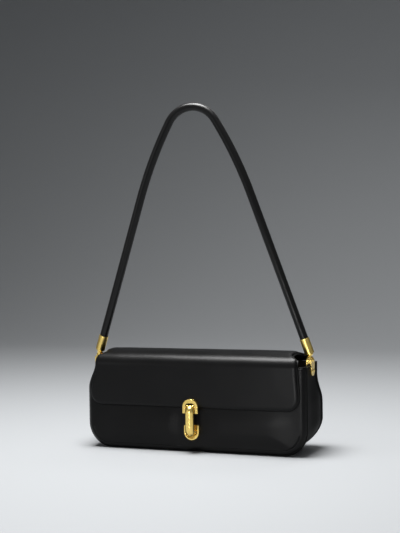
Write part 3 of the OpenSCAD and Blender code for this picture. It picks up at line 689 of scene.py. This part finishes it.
def tube(path, normals, radius, sides, start=0.0, floor=None, ends=True):
    """A round cord along a path: circles in the plane of the outward normal and the cross of
    that with the path's direction. Ends close in a small dome, and nothing is below floor."""
    along = np.gradient(path, axis=0)
    along /= np.linalg.norm(along, axis=1, keepdims=True)
    side = np.cross(along, normals)
    side /= np.linalg.norm(side, axis=1, keepdims=True)
    out = np.cross(side, along)
    angle = start + np.linspace(0, 2 * np.pi, sides + 1)[:-1]
    ring = (np.cos(angle)[None, :, None] * out[:, None]
            + np.sin(angle)[None, :, None] * side[:, None])
    points = path[:, None] + radius * ring
    if ends:
        caps = [np.array([path[row] + radius * (ring[row] * wide + sign * along[row] * high)
                          for wide, high in ((0.75, 0.396), (0.4, 0.552), (0.0, 0.6))])
                for row, sign in ((0, -1), (-1, 1))]
        points = np.concatenate([caps[0][::-1], points, caps[1]])
    if floor is not None:
        points[..., 2] = np.maximum(points[..., 2], floor)
    return points


def mouth_path():
    """Plan of the mouth from the left back seam to the front and round to the right back seam:
    along x = -half, a quarter circle and along the front. Returns points and outward normals."""
    b = bpy.context.scene.bag_body
    half, front, radius, steps = b.width / 2, -b.depth / 2 + b.front_round, b.front_round, 30
    back = back_at(np.array(b.mouth), b) - b.back_round
    angle = np.linspace(np.pi, 1.5 * np.pi, 10)[1:]
    side = np.stack([np.full(steps, -half), np.linspace(back, front, steps)], -1)
    points = np.concatenate([side, arc(-half + radius, front, radius, angle)])
    normals = np.concatenate([np.tile([[-1.0, 0.0]], (steps, 1)), arc(0, 0, 1, angle)])
    return round_the_edge(points, normals, 121, False)


# Shapes of the flap


class FlapForm:
    """The flap's side profile by arc length: a rear arc, a wide dome, a front arc, and the
    straight front. A depth moves inwards along the profile's normal."""

    WAIST_FRONT, WAIST_BACK = -0.024, 0.008  # y at which the narrow part ends
    REAR_RUN = 0.004  # length of full rear width in front of the back's surface
    REAR_CORNER = 0.0016  # radius of the rear corners
    LEFT_BOW, LEFT_DRAW = 0.0017, 0.0030  # how far the left end bows out low and is drawn in high

    def __init__(self):
        b, p, _ = scene_sizes()
        self.body, self.sizes = b, p
        self.half = b.width / 2
        self.face = -b.depth / 2 - p.gap - p.pad - p.lining
        self.rear_y = b.depth / 2 - b.waist_in
        self.turn_a, self.turn_b = math.radians(70), math.radians(106)
        ca, cb = math.cos(self.turn_a), math.cos(self.turn_b)
        span = self.rear_y - self.face - p.rear - p.bend
        self.dome = (span + p.rear * ca - p.bend * cb) / (ca - cb)
        self.dome_mid = (self.rear_y - p.rear + (p.rear - self.dome) * ca, p.top - self.dome)
        self.rear_mid = self.on_dome(self.turn_a, self.dome - p.rear)
        self.front_mid = self.on_dome(self.turn_b, self.dome - p.bend)
        self.s1 = p.rear * self.turn_a
        self.s2 = self.s1 + self.dome * (self.turn_b - self.turn_a)
        self.s3 = self.s2 + p.bend * (math.pi - self.turn_b)
        self.end = self.s3 + self.front_mid[1] - p.edge

    def on_dome(self, turn, distance):
        return (self.dome_mid[0] + distance * math.cos(turn),
                self.dome_mid[1] + distance * math.sin(turn))

    def profile(self, s):
        """y, z and the outward normal at arc length s."""
        p = self.sizes
        zones = [s < self.s1, s < self.s2, s < self.s3]
        turn = np.select(zones, [s / p.rear, self.turn_a + (s - self.s1) / self.dome,
                                 self.turn_b + (s - self.s2) / p.bend], np.pi)
        mids = (self.rear_mid, self.dome_mid, self.front_mid)
        radius = np.select(zones, [p.rear + 0 * s, self.dome + 0 * s, p.bend + 0 * s], 0.0)
        y = np.select(zones, [m[0] + 0 * s for m in mids], self.face)
        z = np.select(zones, [m[1] + 0 * s for m in mids], self.front_mid[1] - (s - self.s3))
        return y + radius * np.cos(turn), z + radius * np.sin(turn), np.cos(turn), np.sin(turn)

    def half_at(self, s):
        """Half width: narrow between the strap's ends, wide before and behind them."""
        p = self.sizes
        y, z, _, _ = self.profile(s)
        wide, waist, top = self.half - p.side_in, self.half - p.waist_side, self.half - p.top_side
        plan = (waist + (wide - waist) * between(y, self.WAIST_FRONT, self.face)
                + (p.waist_side - p.rear_side)
                * between(y, self.WAIST_BACK, self.rear_y - self.REAR_RUN))
        front = wide - (wide - top) * between(z, p.edge + p.corner, self.front_mid[1])
        return np.minimum(plan, front)

    def side(self, inset, start, end):
        """Left edge in (x, -s), drawn in by inset: a small corner at the rear, the side, and the
        lower corner. Normals come from the run of the points."""
        p, small = self.sizes, self.REAR_CORNER
        first, last, corner = start + inset, end - inset, p.corner - inset
        wide = self.half_at(first + small) - inset
        rear = arc(-wide + small, -(first + small), small, np.linspace(0.5 * np.pi, np.pi, 7))
        s = np.linspace(first + small, last - corner, 96)[1:]
        run = np.stack([-(self.half_at(s) - inset), -s], -1)
        turn = np.linspace(np.pi, 1.5 * np.pi, 26)[1:]
        low = arc(-self.half + p.side_in + inset + corner, -(last - corner), corner, turn)
        points = np.concatenate([rear, run, low])
        step = np.gradient(points, axis=0)
        normals = np.stack([step[:, 1], -step[:, 0]], -1)
        normals /= np.linalg.norm(normals, axis=1, keepdims=True)
        normals[0], normals[-1] = (0, 1), (0, -1)
        return points, normals

    def put(self, xs, depth):
        """Points (x, -s) at a depth below the outer surface, in the row frame. The left end
        bows out a little towards the lower corner and is drawn in at the bend."""
        s = -xs[..., 1]
        y, z, ny, nz = self.profile(s)
        left = between(-xs[..., 0], 0.070, 0.120)
        low = between(s, self.s3 + 0.010, self.s3 + 0.040)
        bend = between(s, self.s3 + 0.024, self.s3 + 0.004) * between(s, self.s2 - 0.012, self.s2)
        bow = left * (self.LEFT_BOW * low - self.LEFT_DRAW * bend)
        return np.stack([xs[..., 0] - bow, y - ny * depth, z - nz * depth], -1)


def flap_plate(form, inset, start, end, edge_profile, top_depth, bottom_depth, top_relief=None):
    """A closed plate on the flap's form: an upper face, an edge whose profile has an inset and
    a depth in each row from the upper face to the lower one, and a lower face."""
    left, normals = form.side(inset, start, end)
    edge, turned = round_the_edge(left, normals, 121, True)
    ins, depth = edge_profile.T
    ring = edge[None] - turned[None] * ins[:, None, None]
    strip = form.put(ring, np.repeat(depth[:, None], len(edge), 1))
    upper = across(left - normals * ins[0], 121)
    relief = top_relief(upper) if top_relief is not None else 0.0
    lower = across(left - normals * ins[-1], 121)
    return [form.put(upper, top_depth - relief), strip, form.put(lower, bottom_depth)[::-1]]


# Shape of the strap


def strap_line(pivot_x, k):
    """Centre line of the strap in its own plane, from its right end over the crown to its left
    one: a leg that leans in, a wide arc that carries on from it, and the crown's arc, each
    tangent to the next. Returns x, z and the length run so far."""
    lean = math.atan(pivot_x / (k.rise + k.apex))
    top = np.array([pivot_x - (k.leg - k.neck) * math.tan(lean), k.leg])
    crown_z = k.rise - k.crown
    to_leg = top - np.array([0, crown_z])
    inward = np.array([-math.cos(lean), -math.sin(lean)])
    wide = (k.crown ** 2 - to_leg @ to_leg) / (2 * (inward @ to_leg) + 2 * k.crown)
    mid = top + wide * inward
    end = math.atan2(crown_z - mid[1], -mid[0])
    l1 = (k.leg - k.neck) / math.cos(lean) - k.start
    l2 = l1 + wide * (end - lean)
    l3 = l2 + k.crown * (math.pi / 2 - end)
    s = np.concatenate([np.linspace(0, l1, 60), np.linspace(l1, l2, 50)[1:],
                        np.linspace(l2, l3, 30)[1:]])
    foot = pivot_x - k.start * math.sin(lean), k.neck + k.start * math.cos(lean)
    t1, t2 = lean + (s - l1) / wide, end + (s - l2) / k.crown
    zones = [s < l1, s < l2]
    x = np.select(zones, [foot[0] - s * math.sin(lean), mid[0] + wide * np.cos(t1)],
                  k.crown * np.cos(t2))
    z = np.select(zones, [foot[1] + s * math.cos(lean), mid[1] + wide * np.sin(t1)],
                  crown_z + k.crown * np.sin(t2))
    return (np.concatenate([x, -x[-2::-1]]), np.concatenate([z, z[-2::-1]]),
            np.concatenate([s, 2 * l3 - s[-2::-1]]))


# Operators


def wall(name, grids, key, nodes, flip=False):
    """A sheet of the body's leather, seen in place of the nodes."""
    piece = build(name, [settle(grid) for grid in grids], finish(key), flip=flip)
    thicken(piece, bpy.context.scene.bag_body.leather)
    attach(piece, "body")
    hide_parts(*nodes)


def closed(name, grids, key, wraps, body, nodes):
    """A closed piece that moves with the body, seen in place of the nodes."""
    piece = build(name, grids, finish(key), wraps)
    outward(piece)
    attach(piece, body)
    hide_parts(*nodes)
    return piece


class Maker(bpy.types.Operator):
    """Base of the operators that make pieces."""

    bl_options = {"REGISTER", "UNDO"}

    @classmethod
    def poll(cls, context):
        return context.scene is not None


class BAG_OT_panels(Maker):
    """Front and back panels with their stiffeners inside"""

    bl_idname = "bag.panels"
    bl_label = "Front and back panels"

    def execute(self, context):
        wall("front_panel_leather", front_sheet(0.0), "calf", ("front_panel", "front_stiffener"))
        wall("back_panel_leather", back_sheet(0.0), "calf", ("back_panel", "back_stiffener"),
             flip=True)
        return {"FINISHED"}


class BAG_OT_sides(Maker):
    """Gussets and base"""

    bl_idname = "bag.sides"
    bl_label = "Gussets and base"

    def execute(self, context):
        left = side_sheet(0.0, GUSSET_SWELL)
        drop = context.scene.bag_body.lift
        wall("left_gusset_leather", [left], "calf_side", ("left_gusset",))
        wall("right_gusset_leather", [mirrored(left)], "calf_side", ("right_gusset",), flip=True)
        wall("base_leather", [base_sheet(0.0, drop)], "calf_side", ("base_panel",))
        return {"FINISHED"}


class BAG_OT_welts(Maker):
    """Piped welts of the front and back seams"""

    bl_idname = "bag.welts"
    bl_label = "Welts"

    def execute(self, context):
        b = context.scene.bag_body
        for name, front in (("front_welt", True), ("back_welt", False)):
            path, normals = welt_path(front)
            grid = tube(settle(path), normals, b.welt, 16, floor=0.0003)
            closed(name + "_leather", [grid], "edge", [True], "body", (name,))
        return {"FINISHED"}


class BAG_OT_mouth(Maker):
    """Bound edge of the mouth"""

    bl_idname = "bag.mouth"
    bl_label = "Mouth binding"

    def execute(self, context):
        b = context.scene.bag_body
        wall = b.leather + b.lining
        path, normals = mouth_path()
        angle = np.linspace(np.pi, 0, 13)
        over = np.stack([wall / 2 - wall / 2 * np.cos(angle),
                         b.mouth + b.binding * (0.25 + 0.75 * np.sin(angle) ** 0.7)], -1)
        under = np.array([[wall, b.mouth], [0.0, b.mouth]])
        section = np.concatenate([over, under])
        xy = path[:, None] - normals[:, None] * section[None, :, :1]
        z = np.repeat(section[None, :, 1], len(path), 0)
        grid = settle(np.concatenate([xy, z[..., None]], -1))
        ends = [np.stack([end, np.repeat(end.mean(0)[None], len(end), 0)])
                for end in (grid[0], grid[-1][::-1])]
        closed("mouth_binding_leather", [grid] + ends, "edge", [True] * 3, "body",
               ("mouth_binding",))
        return {"FINISHED"}


class BAG_OT_inside(Maker):
    """Lining, slip pocket and base board"""

    bl_idname = "bag.inside"
    bl_label = "Lining and pocket"

    def execute(self, context):
        b = context.scene.bag_body
        wall = b.leather + b.lining
        left = side_sheet(wall, 0.0)
        grids = front_sheet(wall) + [g[:, ::-1] for g in back_sheet(wall)]
        grids += [left, mirrored(left)[:, ::-1], base_sheet(wall, 0.0)]
        lining = build("lining_microfibre", [settle(g) for g in grids], finish("lining"), flip=True)
        thicken(lining, b.lining - 0.0001)
        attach(lining, "body")
        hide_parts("lining")
        self.pocket(b, wall)
        self.board(b, wall)
        return {"FINISHED"}

    def pocket(self, b, wall):
        """A leaf that stands a millimetre off the lining and turns back to it at its sides and
        lower edge: the gap is a rounded step of the distance to the leaf's edge."""
        half, low, high, hem = 0.075, 0.030, 0.080, 0.0015
        x = np.linspace(-half, half, 76)
        z = np.concatenate([[low, low + hem / 3], np.linspace(low + hem, high - hem / 3, 34),
                            [high]])
        zz, xx = np.meshgrid(z, x, indexing="ij")
        edge = np.minimum(half - np.abs(xx), zz - low)
        y = back_at(zz, b) - wall - (0.0007 + 0.0011 * between(edge, 0.0025, 0.0055))
        leaf = build("slip_pocket_microfibre", [np.stack([xx, y, zz], -1)], finish("lining"))
        thicken(leaf, 0.0006)
        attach(leaf, "body")
        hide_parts("slip_pocket")
        side, down = half - hem, np.linspace(high - hem, low + hem, 60)
        px = np.concatenate([np.full(60, -side), np.linspace(-side, side, 90)[1:],
                             np.full(59, side)])
        pz = np.concatenate([down, np.full(89, low + hem), down[-2::-1]])
        path = np.stack([px, back_at(pz, b) - wall - 0.0009, pz], -1)
        normals = np.tile([[0.0, -1.0, 0.0]], (len(path), 1))
        stitches("slip_pocket_stitches", path, normals, "body")

    def board(self, b, wall):
        """Stiff board wrapped in lining: a plate with rounded corners and edges."""
        low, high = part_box("base_board")
        left, normals = u_side(high.x, low.y, high.y, 0.006, 8, 9)
        flip = np.array([1.0, -1.0])
        rear = left[::-1] * flip + np.array([0, low.y + high.y])
        side = np.concatenate([rear[:-1], left[6:]])
        side_n = np.concatenate([(normals[::-1] * flip)[:-1], normals[6:]])
        edge, turned = round_the_edge(side, side_n, 61, True)
        angle = np.linspace(0, np.pi, 7)
        r = (high.z - low.z) / 2
        ring = edge[None] - turned[None] * (r * (1 - np.sin(angle)))[:, None, None]
        z = low.z + r + r * np.cos(angle)
        strip = np.concatenate([ring, np.repeat(z[:, None], len(edge), 1)[..., None]], -1)
        face = across(side - side_n * r, 61)
        top = np.concatenate([face, np.full(face.shape[:2] + (1,), high.z)], -1)
        under = np.concatenate([face, np.full(face.shape[:2] + (1,), low.z)], -1)[::-1]
        closed("base_board_wrapped", [top, strip, under], "lining", [False, True, False],
               "body", ("base_board",))


class BAG_OT_flap(Maker):
    """Padded flap with its lip, and the leather fold that hinges it"""

    bl_idname = "bag.flap"
    bl_label = "Flap"

    def execute(self, context):
        _, p, _ = scene_sizes()
        form = FlapForm()
        start = 0.0006
        # The padding's edge goes out over the lip, down and back under itself.
        angle = np.linspace(np.pi / 2, -np.pi / 3, 18)
        depth = 0.55 - np.where(angle > 0, 0.55, 0.52) * np.sin(angle)
        roll = np.stack([p.roll * (1 - np.cos(angle)), p.pad * depth], -1)

        def relief(xs):
            """A slight crown with ripples, flat at the edges and under the clasp."""
            x, s = xs[..., 0], -xs[..., 1]
            rim = np.minimum(form.half_at(s) - p.lip - np.abs(x), form.end - p.lip - s) / 0.03
            calm = np.maximum(clasp_calm(x), between(s, form.s3 + 0.03, form.s3 + 0.01))
            return (0.0003 + ripple(x, s, FLAP_RIPPLE)) * ease(rim) * calm

        grids = flap_plate(form, p.lip, start, form.end, roll, 0.0, p.pad, relief)
        outer = closed("flap_outer_leather", grids, "calf_flap", [False, True, False], "flap",
                       ("flap_outer", "flap_padding"))
        half = p.lining / 2
        angle = np.linspace(0, np.pi, 9)
        lip = np.stack([half * (1 - np.sin(angle)), p.pad + half - half * np.cos(angle)], -1)
        grids = flap_plate(form, 0.0, start, form.end, lip, p.pad, p.pad + p.lining)
        # The lip takes the edge paint, whose darker colour is painted shade for the shadow under
        # the flap.
        closed("flap_lip_leather", grids, "edge", [False, True, False], "flap", ("flap_lining",))
        self.fold(p, form)
        return {"FINISHED"}

    def fold(self, p, form):
        """A thin strip outside the back's top and the flap's rear bend: a straight drop and then
        the rear arc, drawn out by its own thickness, with rounded edges."""
        half, foot, hem = form.half - p.waist_side - p.lip, 0.0875, 0.0025
        drop = np.linspace(foot, form.rear_mid[1], 16)[:-1]
        turn = np.linspace(0, math.acos(0.5), 12)
        lead = np.zeros(len(drop))
        y = np.concatenate([lead + form.rear_y, form.rear_mid[0] + p.rear * np.cos(turn)])[:, None]
        z = np.concatenate([drop, form.rear_mid[1] + p.rear * np.sin(turn)])[:, None]
        ny = np.concatenate([lead + 1, np.cos(turn)])[:, None]
        nz = np.concatenate([lead, np.sin(turn)])[:, None]
        x = np.linspace(-half, half, 81)
        row = np.arange(len(y))
        edge = np.minimum.outer(np.minimum(row, row[::-1]), (half - np.abs(x)) / 0.0013)
        thick = 0.0003 + 0.00075 * np.sqrt(1 - (1 - np.clip(edge, 0, 1)) ** 2)
        under = 0.00008
        outer = np.stack(np.broadcast_arrays(x, y + ny * thick, z + nz * thick), -1)
        inner = np.stack(np.broadcast_arrays(x, y + ny * under, z + nz * under), -1)
        rims = [np.stack([outer[i], inner[i]]) for i in (0, -1)]
        rims += [np.stack([outer[:, i], inner[:, i]]) for i in (0, -1)]
        piece = build("flap_fold_leather", [outer, inner[::-1]] + rims, finish("calf_flap"))
        outward(piece)
        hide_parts("flap_fold")
        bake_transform(piece)
        px = np.linspace(-half + 0.003, half - 0.003, 160)
        path = np.stack([px, np.full(160, form.rear_y + 0.00102), np.full(160, foot + hem)], -1)
        stitches("flap_fold_stitches", path, np.tile([[0.0, 1.0, 0.0]], (160, 1)), "body")


class BAG_OT_strap(Maker):
    """Rolled leather strap"""

    bl_idname = "bag.strap"
    bl_label = "Strap"

    def execute(self, context):
        b, _, k = scene_sizes()
        x, z, run = strap_line(b.width / 2 - (b.leather + b.lining) / 2, k)
        tilt = np.array(Matrix.Rotation(k.lean, 3, "X")).T
        path = np.stack([x, 0 * x, z], -1) @ tilt + np.array([0, -k.ahead, k.pivot])
        step = np.gradient(np.stack([x, z], -1), axis=0)
        step /= np.linalg.norm(step, axis=1, keepdims=True)
        normals = np.stack([step[:, 1], 0 * x, -step[:, 0]], -1) @ tilt
        grid = tube(path, normals, 1.0, 40, start=-np.pi, ends=False)
        grid = np.concatenate([grid, grid[:, :1]], 1)
        v = np.linspace(0, 1, 41)
        seam = np.exp(-(v / 0.03) ** 2) + np.exp(-((v - 1) / 0.03) ** 2)
        section = k.radius * (1 - 0.05 * seam)
        grid = path[:, None] + (grid - path[:, None]) * section[None, :, None]
        uv = np.stack(np.broadcast_arrays(run[:, None], ((v + 0.5) % 1.0)[None]), -1)
        piece = build("strap_roll_leather", [grid], finish("roll"), [False], [uv], merge=False)
        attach(piece, "strap")
        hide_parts("strap_leather", "strap_core")
        return {"FINISHED"}


class BAG_OT_metal(Maker):
    """Finishes of the clasp, brackets, ferrules and fasteners, on their CAD meshes"""

    bl_idname = "bag.metal"
    bl_label = "Hardware"

    def execute(self, context):
        groups = {
            "satin": ("upper_plate", "lower_plate", "link_bar", "clasp_pin", "left_bracket",
                      "right_bracket", "bracket_rivets", "left_pivot_pin", "right_pivot_pin",
                      "left_knuckle", "right_knuckle"),
            "polished": ("left_ferrule", "right_ferrule"),
            "steel": ("upper_backing", "upper_screws", "lower_backing", "lower_screws",
                      "catch_magnet", "ferrule_screws"),
        }
        for key, nodes in groups.items():
            for node in nodes:
                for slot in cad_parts[node].material_slots:
                    slot.material = finish(key)
        return {"FINISHED"}


class BAG_OT_stage(Maker):
    """Camera, pale sweep and soft lamps"""

    bl_idname = "bag.stage"
    bl_label = "Stage"

    def execute(self, context):
        self.camera(context)
        self.sweep()
        self.lamps(context)
        self.world(context)
        context.scene.view_settings.view_transform = "Standard"
        return {"FINISHED"}

    def camera(self, context):
        """The camera stands back from its target by yaw and pitch, then rolls."""
        c = context.scene.bag_studio
        ahead = Vector((-math.sin(c.yaw) * math.cos(c.pitch), math.cos(c.yaw) * math.cos(c.pitch),
                        -math.sin(c.pitch)))
        right = Vector((math.cos(c.yaw), math.sin(c.yaw), 0))
        up = right.cross(ahead)
        right, up = (right * math.cos(c.roll) + up * math.sin(c.roll),
                     up * math.cos(c.roll) - right * math.sin(c.roll))
        lens = bpy.data.cameras.new("Camera")
        lens.sensor_fit, lens.sensor_width, lens.lens = "HORIZONTAL", 36.0, c.focal
        lens.clip_start, lens.clip_end = 0.05, 50.0
        camera = bpy.data.objects.new("Camera", lens)
        place = Matrix((right, up, -ahead)).transposed().to_4x4()
        place.translation = Vector(c.target) - ahead * c.distance
        camera.matrix_world = place
        context.scene.collection.objects.link(camera)
        context.scene.camera = camera

    def sweep(self):
        """Floor that curves up into a wall: a profile in y and z carried along x."""
        start, radius, high, half = 1.2, 1.2, 5.0, 6.0
        bend = arc(start, radius, radius, np.linspace(-np.pi / 2, 0, 24)[1:])
        line = np.concatenate([[[-half, 0.0], [start, 0.0]], bend, [[start + radius, high]]])
        x = np.linspace(-half, half, 13)
        grid = np.stack(np.broadcast_arrays(x, line[:, :1], line[:, 1:]), -1)
        piece = build("floor_sweep", [grid], finish("floor"), merge=False)

    def lamps(self, context):
        """Area lamps: name, place, aim, width and height, watts and spread."""
        for name, place, aim, size, power, spread in (
                ("Key", (-0.08, -0.13, 1.20), (0.02, -0.04, 0.1), (0.50, 0.66), 33.0, math.pi),
                ("Front", (-0.80, -1.10, 0.30), (0, 0, 0.06), (0.5, 0.4), 1.0, math.pi),
                ("Low", (0.14, -1.00, 0.06), (0.12, 0, 0.03), (0.25, 0.12), 0.07, 0.5),
                ("Back", (0.2, 1.5, 1.6), (0, 0, 0.15), (1.2, 0.6), 4.0, math.pi)):
            data = bpy.data.lights.new(name, "AREA")
            data.shape, data.size, data.size_y = "RECTANGLE", size[0], size[1]
            data.energy, data.spread = power, spread
            lamp = bpy.data.objects.new(name, data)
            turn = (Vector(aim) - Vector(place)).to_track_quat("-Z", "Y")
            lamp.matrix_world = Matrix.Translation(place) @ turn.to_matrix().to_4x4()
            context.scene.collection.objects.link(lamp)

    def world(self, context):
        """An even light, a little stronger where it is seen, mirrored or seen through."""
        world = bpy.data.worlds.new("World")
        world.use_nodes = True
        nodes, links = world.node_tree.nodes, world.node_tree.links
        nodes.clear()
        path = nodes.new("ShaderNodeLightPath")
        seen = path.outputs["Is Camera Ray"]
        for ray in ("Is Glossy Ray", "Is Transmission Ray"):
            larger = nodes.new("ShaderNodeMath")
            larger.operation = "MAXIMUM"
            links.new(path.outputs[ray], larger.inputs[0])
            links.new(seen, larger.inputs[1])
            seen = larger.outputs[0]
        strength = nodes.new("ShaderNodeMapRange")
        strength.inputs["To Min"].default_value = 0.185
        strength.inputs["To Max"].default_value = 0.25
        links.new(seen, strength.inputs["Value"])
        background = nodes.new("ShaderNodeBackground")
        background.inputs["Color"].default_value = (0.96, 0.98, 1.0, 1.0)
        links.new(strength.outputs["Result"], background.inputs["Strength"])
        output = nodes.new("ShaderNodeOutputWorld")
        links.new(background.outputs[0], output.inputs["Surface"])
        context.scene.world = world


STEPS = (BAG_OT_stage, BAG_OT_panels, BAG_OT_sides, BAG_OT_welts, BAG_OT_mouth, BAG_OT_inside,
         BAG_OT_flap, BAG_OT_strap, BAG_OT_metal)
GROUPS = (("bag_body", BagBodySizes), ("bag_flap", BagFlapSizes), ("bag_strap", BagStrapSizes),
          ("bag_finishes", BagFinishes), ("bag_studio", BagStudio))


class BAG_PT_pieces(bpy.types.Panel):
    """Lists the bag's sizes, finishes and pieces"""

    bl_idname = "BAG_PT_pieces"
    bl_label = "Baguette bag"
    bl_space_type = "VIEW_3D"
    bl_region_type = "UI"
    bl_category = "Bag"

    def draw(self, context):
        for name, group in GROUPS:
            box = self.layout.box()
            for key in group.__annotations__:
                box.prop(getattr(context.scene, name), key)
        for step in STEPS:
            self.layout.operator(step.bl_idname)


def register():
    for _, group in GROUPS:
        bpy.utils.register_class(group)
    for name, group in GROUPS:
        setattr(bpy.types.Scene, name, bpy.props.PointerProperty(type=group))
    for step in STEPS + (BAG_PT_pieces,):
        bpy.utils.register_class(step)


def unregister():
    for step in (BAG_PT_pieces,) + STEPS[::-1]:
        bpy.utils.unregister_class(step)
    for name, group in GROUPS[::-1]:
        delattr(bpy.types.Scene, name)
        bpy.utils.unregister_class(group)


def main():
    register()
    for step in STEPS:
        family, action = step.bl_idname.split(".")
        getattr(getattr(bpy.ops, family), action)()


if __name__ == "__main__":
    main()
